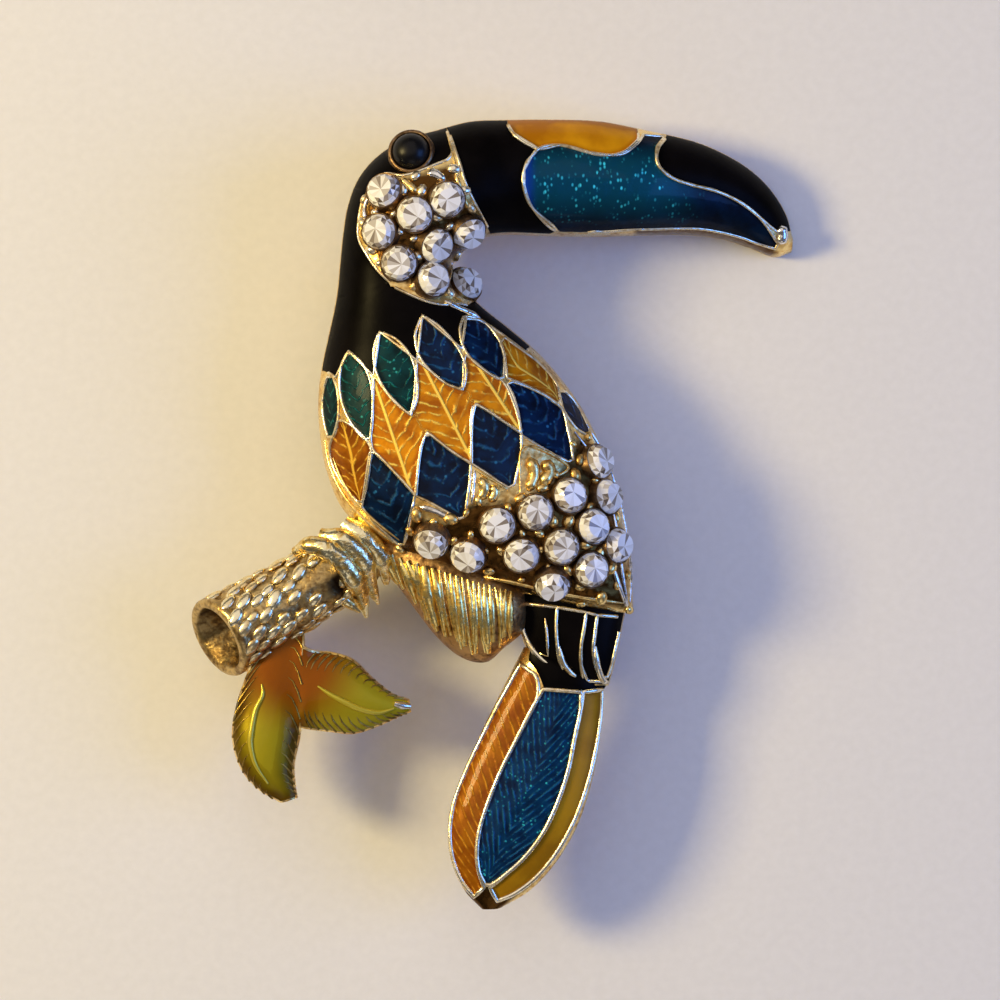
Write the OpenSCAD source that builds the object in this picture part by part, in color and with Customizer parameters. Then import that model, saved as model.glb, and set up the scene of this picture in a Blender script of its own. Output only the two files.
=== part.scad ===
// Figural brooch: a toucan on a hollow branch, cast in one piece with cells for enamel,
// cups for clear cut stones, a cabochon eye, and a bar pin fixed to two posts on the back.
// It lies face up on the hinge and the catch of its pin and on the tip of its bill.

/* [Brooch] */
// Width over the bill tip and the mouth of the branch
brooch_w = 46.4; // [43:0.1:50]
// Height from the top of the bill to the end of the tail
brooch_h = 60; // [56:0.1:64]

/* [Casting] */
// Height of the casting's back edge above the surface it lies on
rim_z = 6; // [5.6:0.1:7]
// Depth of the metal at an outer edge
edge_t = 1; // [0.8:0.05:1.3]
// Height that the breast swells above its edge
body_rise = 6; // [5:0.1:7]
// Wall of the hollow casting
wall = 1.2; // [1.1:0.05:1.5]
// Squareness of the swelling across the bird, 2 is an ellipse
roundness = 2.2; // [2:0.05:2.6]

/* [Enamel] */
// Width of the metal wires between two cells
wire_w = 0.28; // [0.24:0.01:0.34]
// Thickness of the enamel
enamel_t = 0.5; // [0.4:0.05:0.6]
// How far the enamel lies below the wires
enamel_sink = 0.08; // [0.04:0.01:0.12]
// Gap between the enamel and its cell
enamel_gap = 0.05; // [0.04:0.01:0.06]
// Width of a cell's pointed end
tip_w = 0.45; // [0.42:0.01:0.5]
// Bare metal left round a leaf
leaf_rim = 0.4; // [0.3:0.05:0.6]

/* [Stones] */
// Diameter of a cut stone
stone_d = 2.5; // [2.3:0.05:2.6]
// Clearance between two neighbouring stones
stone_apart = 0.1; // [0.1:0.01:0.2]
// Gap between a stone and its cup
stone_gap = 0.03; // [0.03:0.01:0.05]
// Wall of a stone's cup
cup_wall = 0.2; // [0.15:0.05:0.3]
// Height of a stone's girdle above the metal
girdle_z = 0.4; // [0.3:0.05:0.5]
// Height of the crown above the girdle
crown_h = 0.7; // [0.5:0.05:0.8]
// Depth of the pavilion below the girdle
pavilion_h = 0.8; // [0.6:0.05:0.9]
// Thickness of the girdle
girdle_t = 0.12; // [0.08:0.01:0.16]
// Width of a stone's table
table_w = 1.4; // [1.1:0.05:1.6]
// Most that a stone leans with the swelling
lean_max = 50; // [35:1:60]

/* [Eye] */
// Diameter of the black cabochon
eye_d = 2.8; // [2.4:0.1:3.2]
// Height of the cabochon above its cup's floor
eye_h = 1.3; // [1.1:0.05:1.5]
// Wall of the eye's cup
eye_wall = 0.3; // [0.25:0.05:0.4]

/* [Branch] */
// Diameter at the open mouth
branch_d = 6.4; // [5.8:0.1:7]
// Diameter where the branch meets the bird
branch_end_d = 5; // [4.4:0.1:5.6]
// Diameter of its root under the bird
root_d = 2.6; // [2.2:0.1:3]
// Height of its axis above the surface
branch_z = 7.4; // [7:0.1:8]
// Wall at the open mouth
branch_wall = 0.8; // [0.7:0.05:1]
// Depth of the bore
bore_deep = 8; // [6:0.5:9]
// Lean of the mouth towards the viewer
mouth_lean = 27; // [15:1:35]
// Diameter of a toe
toe_d = 1.7; // [1.4:0.1:2]
// Diameter of a bark knob
knob_d = 1.1; // [0.9:0.1:1.4]

/* [Pin] */
// Length of the bar
bar_len = 19.5; // [18:0.5:21]
// Width of the bar
bar_w = 3.4; // [3:0.1:4]
// Thickness of the bar
bar_t = 0.8; // [0.7:0.05:1]
// Underside of the bar above the surface
bar_z = 5.7; // [5.4:0.1:6]
// Diameter of the pin wire
pin_d = 0.8; // [0.7:0.05:1]
// Height of the pin wire's axis above the surface
pin_z = 0.9; // [0.8:0.05:1]
// Length of the hinge block along the bar
hinge_len = 2.6; // [2.2:0.1:3]
// Width of the hinge block and the catch
clasp_w = 2.2; // [2:0.1:2.6]
// Length of the catch along the bar
catch_len = 2; // [1.6:0.1:2.4]
// Diameter of the two posts that carry the bar
post_d = 2.2; // [1.8:0.1:2.6]
// Gap between a post and the bar
seat_gap = 0.05; // [0.04:0.01:0.1]

/* [Hidden] */
// Places in the tables below are squares of the drawing grid: squares_across of them span
// brooch_w and squares_down span brooch_h, counted right and down from the grid's corner.
squares_across = 614;
squares_down = 795;
mid_across = 493;
mid_down = 513.5;

// Swelling forms. Columns: edge a across, down; edge b across, down; then shares of rim_z,
// of edge_t at a, of edge_t at b, and of body_rise.
bird_rows = [
    [798, 232, 797, 247, 0.00, 0.5, 0.5, 0.16],
    [791, 208, 779, 252, 0.02, 0.7, 0.7, 0.34],
    [772, 180, 751, 242, 0.10, 0.8, 0.8, 0.46],
    [743, 157, 723, 234, 0.22, 0.9, 0.9, 0.54],
    [701, 138, 687, 231, 0.38, 1.0, 1.0, 0.60],
    [651, 127, 646, 232, 0.55, 1.0, 1.0, 0.64],
    [600, 118, 598, 234, 0.70, 1.0, 1.0, 0.66],
    [550, 117, 550, 234, 0.84, 1.0, 1.0, 0.68],
    [507, 118, 512, 233, 0.94, 1.0, 1.0, 0.72],
    [470, 120, 488, 235, 1.0, 1.0, 1.0, 0.78],
    [436, 129, 478, 239, 1.0, 1.0, 1.0, 0.84],
    [405, 138, 468, 246, 1.0, 1.0, 1.0, 0.88],
    [378, 154, 460, 253, 1.0, 1.0, 1.0, 0.90],
    [358, 177, 455, 259, 1.0, 1.0, 1.0, 0.90],
    [347, 205, 453, 264, 1.0, 1.0, 1.0, 0.88],
    [342, 235, 454, 271, 1.0, 1.0, 1.0, 0.86],
    [339, 265, 460, 283, 1.0, 1.0, 1.0, 0.84],
    [336, 295, 471, 295, 1.0, 1.0, 1.0, 0.84],
    [329, 330, 486, 309, 1.0, 1.0, 1.0, 0.88],
    [322, 362, 510, 328, 1.0, 1.0, 1.0, 0.94],
    [318, 395, 541, 355, 1.0, 1.0, 1.0, 1.00],
    [319, 430, 571, 391, 1.0, 1.0, 1.0, 1.04],
    [326, 470, 594, 430, 1.0, 1.1, 1.0, 1.04],
    [344, 511, 610, 470, 1.0, 1.4, 1.0, 1.00],
    [384, 543, 620, 505, 1.0, 1.9, 1.1, 0.90],
    [439, 563, 627, 540, 1.0, 2.2, 1.2, 0.78],
    [500, 584, 631, 570, 1.0, 2.2, 1.3, 0.62],
    [560, 603, 633, 595, 1.0, 2.1, 1.5, 0.42],
    [611, 612, 633, 613, 1.0, 1.9, 1.7, 0.16]
];
tail_rows = [
    [524, 648, 604, 655, 1.0, 0.9, 0.9, 0.32],
    [500, 695, 603, 700, 1.0, 0.9, 0.9, 0.32],
    [478, 740, 599, 750, 1.0, 0.9, 0.9, 0.31],
    [459, 785, 589, 795, 1.0, 0.9, 0.9, 0.30],
    [448, 830, 575, 833, 1.0, 0.9, 0.9, 0.27],
    [452, 866, 554, 867, 1.0, 0.9, 0.9, 0.23],
    [465, 893, 529, 893, 1.0, 0.9, 0.9, 0.17],
    [482, 911, 500, 910, 1.0, 0.9, 0.9, 0.08]
];
covert_rows = [
    [514, 592, 629, 596, 1.0, 1.3, 1.2, 0.36],
    [518, 620, 624, 620, 1.0, 1.3, 1.2, 0.36],
    [526, 648, 619, 646, 1.0, 1.3, 1.2, 0.33],
    [543, 670, 614, 668, 1.0, 1.3, 1.2, 0.26],
    [576, 685, 609, 686, 1.0, 1.3, 1.2, 0.14]
];
tuft_rows = [
    [362, 543, 424, 535, 1.0, 0.6, 1.6, 0.36],
    [388, 574, 450, 548, 1.0, 0.6, 1.8, 0.44],
    [412, 606, 478, 560, 1.0, 0.6, 1.9, 0.50],
    [436, 637, 503, 572, 1.0, 0.6, 1.9, 0.52],
    [461, 658, 522, 584, 1.0, 0.6, 1.8, 0.50],
    [486, 663, 527, 602, 1.0, 0.6, 1.6, 0.42],
    [506, 647, 529, 628, 1.0, 0.6, 1.2, 0.20]
];
leaf_down_rows = [
    [258, 645, 303, 622, 1.0, 1.0, 1.0, 0.22],
    [246, 676, 304, 643, 1.0, 1.0, 1.0, 0.26],
    [236, 706, 303, 690, 1.0, 1.0, 1.0, 0.30],
    [231, 738, 300, 735, 1.0, 1.0, 1.0, 0.30],
    [240, 770, 294, 766, 1.0, 1.0, 1.0, 0.26],
    [258, 791, 295, 787, 1.0, 1.0, 1.0, 0.18],
    [280, 804, 297, 799, 1.0, 1.0, 1.0, 0.10]
];
leaf_side_rows = [
    [301, 646, 299, 728, 1.0, 1.0, 1.0, 0.26],
    [314, 651, 309, 730, 1.0, 1.0, 1.0, 0.29],
    [333, 653, 330, 733, 1.0, 1.0, 1.0, 0.30],
    [353, 660, 354, 735, 1.0, 1.0, 1.0, 0.27],
    [372, 678, 379, 727, 1.0, 1.0, 1.0, 0.22],
    [392, 694, 398, 718, 1.0, 1.0, 1.0, 0.15],
    [409, 700, 411, 713, 1.0, 1.0, 1.0, 0.08]
];

// Enamel cells, drawn along the middle of their wires. Columns: rail a across, down; rail b
// across, down.
bill_base_cell = [
    [449, 133, 506, 122], [453, 145, 512, 133], [457, 157, 525, 142],
    [461, 169, 538, 150], [464, 180, 526, 165], [468, 191, 523, 185],
    [475, 205, 531, 207], [489, 230, 557, 230]
];
bill_saddle_cell = [
    [507, 121, 509, 127], [520, 120, 516, 138], [535, 119, 538, 150],
    [552, 119, 560, 146], [570, 119, 576, 149], [590, 120, 598, 155],
    [612, 122, 621, 153], [629, 125, 638, 139], [637, 128, 639, 131]
];
bill_side_cell = [
    [524, 171, 524, 187], [538, 150, 530, 205], [560, 146, 543, 221],
    [590, 153, 556, 230], [621, 154, 573, 231], [638, 142, 586, 231],
    [644, 133, 594, 230], [665, 134, 604, 230], [657, 148, 630, 228],
    [659, 165, 655, 227], [675, 178, 678, 226], [695, 184, 702, 226],
    [720, 190, 724, 229], [745, 201, 745, 234], [764, 216, 762, 240],
    [783, 241, 780, 245]
];
bill_tip_cell = [
    [668, 134, 659, 146], [682, 136, 657, 160], [698, 141, 667, 174],
    [718, 149, 690, 183], [740, 161, 714, 188], [760, 177, 737, 197],
    [776, 197, 757, 210], [785, 215, 772, 222], [788, 230, 784, 231]
];
nape_cell = [
    [386, 152, 384, 168], [370, 169, 373, 181], [357, 190, 364, 201],
    [352, 215, 360, 221], [348, 240, 360, 240], [345, 266, 368, 256],
    [342, 292, 379, 272], [338, 316, 391, 284]
];
yoke_cell = [
    [337, 322, 326, 371], [345, 316, 337, 378], [352, 311, 350, 352],
    [364, 304, 375, 377], [380, 294, 381, 333], [393, 288, 418, 362],
    [422, 301, 423, 317], [443, 306, 462, 350], [463, 305, 466, 320],
    [481, 313, 481, 322], [512, 333, 510, 341], [541, 359, 538, 362]
];
teal_cells = [
    [[330, 371, 332, 371], [325, 388, 338, 388], [323, 408, 340, 408],
     [326, 428, 338, 428], [331, 443, 333, 443]],
    [[349, 352, 351, 352], [342, 368, 365, 366], [341, 389, 373, 387],
     [346, 411, 374, 411], [357, 430, 373, 430], [369, 443, 371, 442]],
    [[380, 333, 382, 333], [375, 352, 399, 342], [377, 371, 412, 358],
     [386, 390, 418, 380], [399, 405, 418, 400], [411, 416, 413, 415]],
    [[422, 317, 424, 317], [416, 337, 440, 328], [420, 357, 456, 346],
     [432, 373, 466, 366], [447, 385, 466, 381], [462, 391, 464, 390]],
    [[464, 316, 466, 316], [460, 331, 484, 323], [464, 349, 498, 339],
     [474, 363, 504, 356], [488, 374, 504, 371], [501, 382, 503, 381]]
];
amber_cells = [
    [[340, 418, 342, 419], [336, 432, 357, 429], [331, 445, 372, 447],
     [332, 461, 371, 466], [341, 480, 368, 486], [361, 505, 363, 505]],
    [[376, 378, 373, 447], [386, 391, 387, 463], [398, 405, 401, 478],
     [412, 416, 416, 494], [415, 400, 420, 460], [417, 378, 423, 445],
     [418, 362, 428, 433], [432, 373, 441, 443], [447, 385, 455, 454],
     [463, 391, 471, 463], [464, 376, 472, 436], [464, 366, 473, 418],
     [466, 356, 476, 405], [475, 363, 488, 412], [488, 374, 503, 422],
     [503, 383, 508, 425], [513, 403, 512, 428], [519, 422, 521, 433]],
    [[504, 338, 500, 343], [512, 344, 504, 356], [522, 351, 507, 379],
     [539, 364, 527, 387], [556, 384, 545, 396], [561, 406, 560, 408]]
];
blue_cells = [
    [[372, 449, 374, 450], [369, 468, 388, 464], [366, 488, 402, 479],
     [363, 507, 416, 495], [376, 523, 412, 515], [390, 536, 408, 532],
     [402, 547, 404, 547]],
    [[427, 433, 429, 433], [422, 450, 442, 444], [419, 473, 456, 454],
     [417, 496, 471, 464], [432, 503, 470, 484], [448, 512, 467, 503],
     [463, 520, 465, 520]],
    [[473, 404, 475, 404], [471, 424, 490, 413], [472, 444, 506, 424],
     [472, 464, 521, 434], [486, 473, 521, 453], [499, 482, 517, 472],
     [511, 489, 513, 488]],
    [[505, 381, 507, 381], [513, 397, 528, 388], [518, 415, 546, 397],
     [521, 436, 562, 410], [539, 447, 567, 428], [555, 456, 571, 447],
     [571, 464, 573, 464]],
    [[557, 386, 559, 387], [560, 400, 571, 398], [563, 411, 580, 411],
     [575, 428, 588, 427], [591, 439, 592, 440]]
];
covert_cells = [
    [[519, 603, 557, 607], [521, 619, 556, 623], [527, 640, 557, 642],
     [535, 655, 559, 658], [548, 667, 563, 670]],
    [[557, 607, 586, 612], [556, 623, 584, 627], [557, 642, 581, 645],
     [560, 660, 581, 664], [571, 675, 583, 680]],
    [[586, 612, 597, 615], [584, 627, 595, 630], [581, 645, 593, 650],
     [581, 664, 596, 667], [587, 681, 602, 682]],
    [[597, 615, 622, 617], [595, 631, 619, 632], [593, 650, 615, 650],
     [597, 667, 611, 667], [603, 681, 606, 681]]
];
tail_amber_cell = [
    [521, 664, 536, 676], [510, 684, 538, 695], [498, 706, 529, 715],
    [482, 738, 515, 742], [466, 772, 501, 770], [454, 805, 489, 800],
    [450, 834, 480, 828], [453, 860, 477, 852], [462, 882, 479, 872],
    [474, 898, 484, 888]
];
tail_blue_cell = [
    [543, 689, 581, 692], [529, 714, 580, 713], [515, 742, 574, 741],
    [501, 770, 568, 771], [489, 800, 557, 804], [480, 828, 543, 833],
    [477, 852, 524, 858], [479, 872, 503, 877], [486, 887, 489, 887]
];
tail_ochre_cell = [
    [497, 902, 490, 888], [515, 894, 503, 877], [536, 878, 524, 858],
    [556, 854, 543, 833], [574, 822, 557, 804], [587, 787, 568, 771],
    [596, 750, 574, 741], [601, 715, 580, 713], [602, 690, 583, 692]
];

// Stones, counted in pitches of one stone and its clearance, right and up from the middle
// stone of each field. Columns: across, up.
face_middle = [421, 243];
face_stones = [
    [-0.99, 1.39], [-0.17, 0.75], [0.75, 1.19], [-1.13, 0.26], [0.38, -0.09],
    [1.33, 0.35], [-0.61, -0.64], [0.29, -1.13], [1.22, -1.25]
];
wing_middle = [545, 530];
wing_stones = [
    [-3.25, -0.26], [-2.20, -0.67], [-1.39, 0.17], [-0.32, 0.52], [-0.70, -0.67],
    [0.64, 0.99], [0.43, -0.46], [1.30, 0.09], [0.20, -1.48], [1.28, -1.13],
    [1.68, 0.93], [1.97, -0.46], [1.42, 1.94]
];
eye_at = [412, 155];

// Branch, toes and pin. Columns of a toe: across, down, height above the branch's axis as a
// share of its radius at the mouth, and thickness as a share of toe_d.
mouth_at = [216, 640];
branch_end_at = [354, 561];
root_at = [386, 543];
toes = [
    [[300, 546, 0.85, 0.8], [322, 552, 1.0, 0.9], [343, 570, 0.85, 1.0], [354, 592, 0.45, 0.9],
     [365, 613, 0.0, 0.4]],
    [[322, 534, 0.8, 0.8], [345, 545, 0.95, 1.0], [362, 566, 0.7, 1.1], [370, 592, 0.2, 0.7]],
    [[352, 524, 0.6, 1.0], [372, 550, 0.55, 1.3], [382, 580, 0.1, 0.6]]
];
pin_at = [416, 398];

// Cuts across a form and across its hollow
form_cuts = 8;
hollow_cuts = 4;

function mix(a, b, t) = a + (b - a) * t;
function turned(list) = [for (i = [len(list) - 1 : -1 : 0]) list[i]];
function total(list) = list * [for (item = list) 1];
function unit(v) = v / norm(v);
function place(across, down) = [
    (across - mid_across) / squares_across * brooch_w,
    (mid_down - down) / squares_down * brooch_h
];

function swell(v) = pow(max(0, 1 - pow(abs(2 * v - 1), roundness)), 1 / roundness);
function top_z(row, v) = row[4] + mix(row[5], row[6], v) + row[7] * swell(v);
function spot(row, v) = mix([row[0], row[1]], [row[2], row[3]], v);
function side_of(row, p) = cross([row[2] - row[0], row[3] - row[1]], p - [row[0], row[1]]);
function share(row, p) = let (edge = [row[2] - row[0], row[3] - row[1]])
    (p - [row[0], row[1]]) * edge / (edge * edge);

// The form's surface above a point, found between the two rows on either side of it
function spans(rows, p) = [
    for (i = [0 : len(rows) - 2])
        let (s = side_of(rows[i], p), e = side_of(rows[i + 1], p))
        if (s * e <= 0 && s != e)
            let (row = mix(rows[i], rows[i + 1], s / (s - e)), v = share(row, p))
            if (v > -0.1 && v < 1.1) [row, v]
];
function nearest_end(rows, p) = let (first = rows[0], last = rows[len(rows) - 1])
    norm(spot(first, 0.5) - p) < norm(spot(last, 0.5) - p) ? first : last;
function height(rows, p) = let (found = spans(rows, p))
    len(found) > 0
    ? top_z(found[0][0], min(max(found[0][1], 0.01), 0.99))
    : let (row = nearest_end(rows, p)) top_z(row, min(max(share(row, p), 0.01), 0.99));
function slope_of(rows, p, step) = [
    (height(rows, p + [step, 0]) - height(rows, p - [step, 0])) / (2 * step),
    (height(rows, p + [0, step]) - height(rows, p - [0, step])) / (2 * step)
];

// A closed solid between two grids of points, a row for each section, kept to whole microns
microns = 1000;
module slab(tops, bottoms) {
    n = len(tops);
    m = len(tops[0]);
    points = [for (grid = [tops, bottoms], row = grid, p = row)
        [for (c = p) round(c * microns) / microns]];
    below = n * m;
    faces = concat(
        [for (i = [0 : n - 2]) for (j = [0 : m - 2]) let (a = i * m + j)
            each [[a, a + 1, a + m + 1], [a, a + m + 1, a + m],
                  [below + a, below + a + m + 1, below + a + 1],
                  [below + a, below + a + m, below + a + m + 1]]],
        [for (i = [0 : n - 2]) let (a = i * m, b = a + m - 1)
            each [[a, a + m, below + a + m], [a, below + a + m, below + a],
                  [b, below + b + m, b + m], [b, below + b, below + b + m]]],
        [for (j = [0 : m - 2]) let (a = j, b = (n - 1) * m + j)
            each [[a, below + a + 1, a + 1], [a, below + a, below + a + 1],
                  [b, b + 1, below + b + 1], [b, below + b + 1, below + b]]]
    );
    polyhedron(points, faces);
}

function area(loop) = total([
    for (i = [0 : len(loop) - 1]) cross(loop[i], loop[(i + 1) % len(loop)])
]) / 2;
function outline(a, b) = concat(a, turned(b));
function facing(a, b) = area(outline(a, b)) > 0;

// The outline moved inwards by d, each corner along its own mitre, which is kept short at a
// sharp one
mitre_least = 0.4;
function inset(loop, d) = let (n = len(loop)) [
    for (i = [0 : n - 1])
        let (
            before = unit(loop[i] - loop[(i + n - 1) % n]),
            after = unit(loop[(i + 1) % n] - loop[i]),
            inward = [-before.y - after.y, before.x + after.x]
        )
        loop[i] + inward * d / max(mitre_least, 1 + before * after)
];

// How much of its last section a pointed end loses, so that the end is tip_w wide
function span(section) = norm(section[1] - section[0]);
function lost(last, next) =
    min(max((tip_w - span(last)) / max(span(next) - span(last), wire_w), 0), 1 / 2);

// The two rails of a cell, turned so that rail b lies to the left of rail a
function rails(rows) =
    let (
        drawn = [for (r = rows) [place(r[0], r[1]), place(r[2], r[3])]],
        n = len(drawn) - 1,
        start = mix(drawn[0], drawn[1], lost(drawn[0], drawn[1])),
        end = mix(drawn[n], drawn[n - 1], lost(drawn[n], drawn[n - 1])),
        cut = [start, for (i = [1 : n - 1]) drawn[i], end],
        a = [for (section = cut) section[0]],
        b = [for (section = cut) section[1]]
    )
    facing(a, b) ? [a, b] : [turned(a), turned(b)];

// Solid in a cell: its edge lies margin inside the rails, from top to bottom under the form
module cell_solid(rows, pair, margin, above, below, cuts) {
    count = len(pair[0]);
    edge = inset(outline(pair[0], pair[1]), margin);
    flat = [for (i = [0 : count - 1]) [for (j = [0 : cuts])
        mix(edge[i], edge[2 * count - 1 - i], j / cuts)]];
    level = [for (line = flat) [for (p = line) height(rows, p)]];
    slab(
        [for (i = [0 : count - 1]) [for (j = [0 : cuts]) [each flat[i][j], level[i][j] + above]]],
        [for (i = [0 : count - 1]) [for (j = [0 : cuts]) [each flat[i][j], level[i][j] - below]]]
    );
}

module enamel(rows, pair, margin, cuts) {
    cell_solid(rows, pair, margin + enamel_gap, -enamel_sink, enamel_sink + enamel_t, cuts);
}

module pocket(rows, pair, margin, cuts) {
    cell_solid(rows, pair, margin, body_rise, enamel_sink + enamel_t + 2 * enamel_gap, cuts);
}

// A swelling form in millimetres: edge a, edge b, back, depth at a and b, and swell, turned
// as a cell is
function form_rails(rows) = [[for (r = rows) [r[0], r[1]]], [for (r = rows) [r[2], r[3]]]];
function form(rows) =
    let (real = [
        for (r = rows) concat(
            place(r[0], r[1]), place(r[2], r[3]),
            [r[4] * rim_z, r[5] * edge_t, r[6] * edge_t, r[7] * body_rise]
        )
    ], pair = form_rails(real))
    facing(pair[0], pair[1]) ? real : turned(real);

bird = form(bird_rows);
tail = form(tail_rows);
coverts = form(covert_rows);
tuft = form(tuft_rows);
leaf_down = form(leaf_down_rows);
leaf_side = form(leaf_side_rows);

// Shares across a form, closer together near its edges
function across(cuts) = [for (j = [0 : cuts]) (1 - cos(180 * j / cuts)) / 2];
function wide(row) = norm([row[2] - row[0], row[3] - row[1]]);

// A swelling form, hollowed from behind where it is this many walls wide
hollow_least = 4;
module shell(rows, closed_start, closed_end) {
    last = len(rows) - 1 - closed_end;
    hollow = [for (i = [closed_start : last]) if (wide(rows[i]) > hollow_least * wall) rows[i]];
    difference() {
        slab(
            [for (r = rows) [for (v = across(form_cuts)) [each spot(r, v), top_z(r, v)]]],
            [for (r = rows) [for (v = across(form_cuts)) [each spot(r, v), r[4]]]]
        );
        slab(
            [for (r = hollow) [for (v = across(hollow_cuts))
                let (u = mix(wall / wide(r), 1 - wall / wide(r), v)) [each spot(r, u), top_z(r, u) - wall]]],
            [for (r = hollow) [for (v = across(hollow_cuts))
                let (u = mix(wall / wide(r), 1 - wall / wide(r), v)) [each spot(r, u), r[4] - rim_z]]]
        );
    }
}

// Moves its children to a place on a form, leaning with the surface there
slope_step = stone_d / 6;
module on_form(rows, p, lean) {
    slope = slope_of(rows, p, slope_step);
    translate([p.x, p.y, height(rows, p)])
        rotate([0, min(lean, atan(norm(slope))), atan2(-slope.y, -slope.x)])
            children();
}

pitch = stone_d + stone_apart;
function stone_spots(middle, stones) = [for (s = stones) place(middle[0], middle[1]) + pitch * s];
face_spots = stone_spots(face_middle, face_stones);
wing_spots = stone_spots(wing_middle, wing_stones);
stone_names = [
    for (i = [1 : len(face_stones)]) str("face_stone_", i),
    for (i = [1 : len(wing_stones)]) str("wing_stone_", i)
];

cup_sides = 12;
seat_d = (stone_d + 2 * stone_gap) / cos(180 / cup_sides);
seat_foot_d = seat_d / 4;
cup_d = seat_d + 2 * cup_wall;

module cup() {
    translate([0, 0, -wall / 2])
        cylinder(d = cup_d, h = wall / 2 + girdle_z + girdle_t, $fn = cup_sides);
}

module seat() {
    translate([0, 0, girdle_z])
        cylinder(d = seat_d, h = body_rise, $fn = cup_sides);
    translate([0, 0, girdle_z - pavilion_h])
        cylinder(d1 = seat_foot_d, d2 = seat_d, h = pavilion_h, $fn = cup_sides);
}

function ring(d, z, count, turn) = [
    for (i = [0 : count - 1]) let (a = 360 * (i + turn) / count) [d / 2 * cos(a), d / 2 * sin(a), z]
];

// A cut stone: table, eight stars, sixteen kites' halves, girdle and sixteen pavilion facets
stone_eighths = 8;
module cut_stone() {
    n = stone_eighths;
    girdle = girdle_z + stone_gap;
    points = concat(
        ring(table_w, girdle + girdle_t + crown_h, n, 0),
        ring(stone_d, girdle + girdle_t, 2 * n, 0),
        ring(stone_d, girdle, 2 * n, 0),
        [[0, 0, girdle - pavilion_h + seat_foot_d / 2]]
    );
    upper = n;
    lower = 3 * n;
    culet = 5 * n;
    faces = concat(
        [for (i = [1 : n - 2]) [0, i + 1, i]],
        [for (i = [0 : n - 1]) let (g = upper + 2 * i, next = upper + (2 * i + 2) % (2 * n),
                back = upper + (2 * i + 2 * n - 1) % (2 * n))
            each [[i, g + 1, g], [i, g, back], [i, (i + 1) % n, g + 1]]],
        [for (i = [0 : 2 * n - 1]) let (k = (i + 1) % (2 * n))
            each [[upper + i, upper + k, lower + k], [upper + i, lower + k, lower + i],
                  [lower + i, lower + k, culet]]]
    );
    polyhedron(points, faces);
}

module face_stone(i) {
    color("white") on_form(bird, face_spots[i - 1], lean_max) cut_stone();
}

module wing_stone(i) {
    color("white") on_form(bird, wing_spots[i - 1], lean_max) cut_stone();
}

// The eye leans less than the head under it
eye_lean = lean_max / 3;
eye_spot = place(eye_at[0], eye_at[1]);
eye_cup_d = eye_d + 2 * (stone_gap + eye_wall);
eye_lip = girdle_z + girdle_t;

module eye_cup() {
    translate([0, 0, -2 * wall])
        cylinder(d = eye_cup_d, h = 2 * wall + eye_lip, $fn = 24);
}

module eye_seat() {
    cylinder(d = eye_d + 2 * stone_gap, h = body_rise, $fn = 24);
}

module eye() {
    ball_r = (eye_d * eye_d / 4 + eye_h * eye_h) / (2 * eye_h);
    color("black") on_form(bird, eye_spot, eye_lean)
        intersection() {
            translate([0, 0, eye_lip / 2 + eye_h - ball_r]) sphere(r = ball_r, $fn = 96);
            translate([0, 0, stone_gap]) cylinder(d = eye_d, h = 2 * eye_h, $fn = 48);
        }
}

// The branch's frame: x runs along its axis from the middle of the mouth
mouth = place(mouth_at[0], mouth_at[1]);
branch_end = place(branch_end_at[0], branch_end_at[1]);
branch_len = norm(branch_end - mouth);
branch_turn = atan2(branch_end.y - mouth.y, branch_end.x - mouth.x);
branch_r = branch_d / 2;
root_len = norm(place(root_at[0], root_at[1]) - branch_end);
// Knobs of bark, in staggered rings over the half that faces the viewer
knob_rings = 3;
knobs_in_ring = 5;
knob_spread = 156;

module on_branch() {
    translate([mouth.x, mouth.y, branch_z]) rotate([0, 0, branch_turn]) children();
}

module branch_bark() {
    root_end = branch_len + root_len;
    rotate([0, 90, 0]) rotate_extrude($fn = 24)
        polygon([
            [0, -branch_r], [branch_r, -branch_r], [branch_r, 0], [branch_end_d / 2, branch_len],
            [root_d / 2, root_end], [0, root_end]
        ]);
    for (i = [1 : knob_rings], k = [0 : knobs_in_ring - 1]) {
        along = i / (knob_rings + 1);
        radius = mix(branch_d, branch_end_d, along) / 2;
        rotate([knob_spread * ((k + (i % 2) / 2) / knobs_in_ring - 0.5), 0, 0])
            translate([along * branch_len, 0, radius])
                sphere(d = knob_d, $fn = 6);
    }
}

// What is cut off and bored out at the mouth
module branch_mouth() {
    reach = 2 * branch_d;
    rotate([0, mouth_lean, 0])
        translate([-reach, -reach / 2, -reach / 2]) cube(reach);
    translate([-reach, 0, 0]) rotate([0, 90, 0])
        cylinder(d = branch_d - 2 * branch_wall, h = reach + bore_deep, $fn = 24);
}

module toe(rows) {
    for (i = [0 : len(rows) - 2])
        hull() for (r = [rows[i], rows[i + 1]])
            translate([each place(r[0], r[1]), branch_z + r[2] * branch_r])
                sphere(d = r[3] * toe_d, $fn = 6);
}

// The two posts stand over the bar, one near each end, and reach post_bite into the wall
post_bite = wall / 8;
pin_middle = place(pin_at[0], pin_at[1]);
post_apart = bar_len - hinge_len - catch_len - post_d;
post_spots = [for (side = [-1, 1]) pin_middle + [0, side * post_apart / 2]];
post_foot_z = bar_z + bar_t + seat_gap;

module posts() {
    for (p = post_spots)
        translate([p.x, p.y, post_foot_z])
            cylinder(d = post_d, h = height(bird, p) - wall + post_bite - post_foot_z, $fn = 16);
}

// Room for the bar where a longer or wider one would meet the casting's back edge
module bar_room() {
    room = [bar_w + 2 * seat_gap, bar_len + 2 * seat_gap, post_foot_z];
    translate([pin_middle.x - room.x / 2, pin_middle.y - room.y / 2, 0]) cube(room);
}

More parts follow.
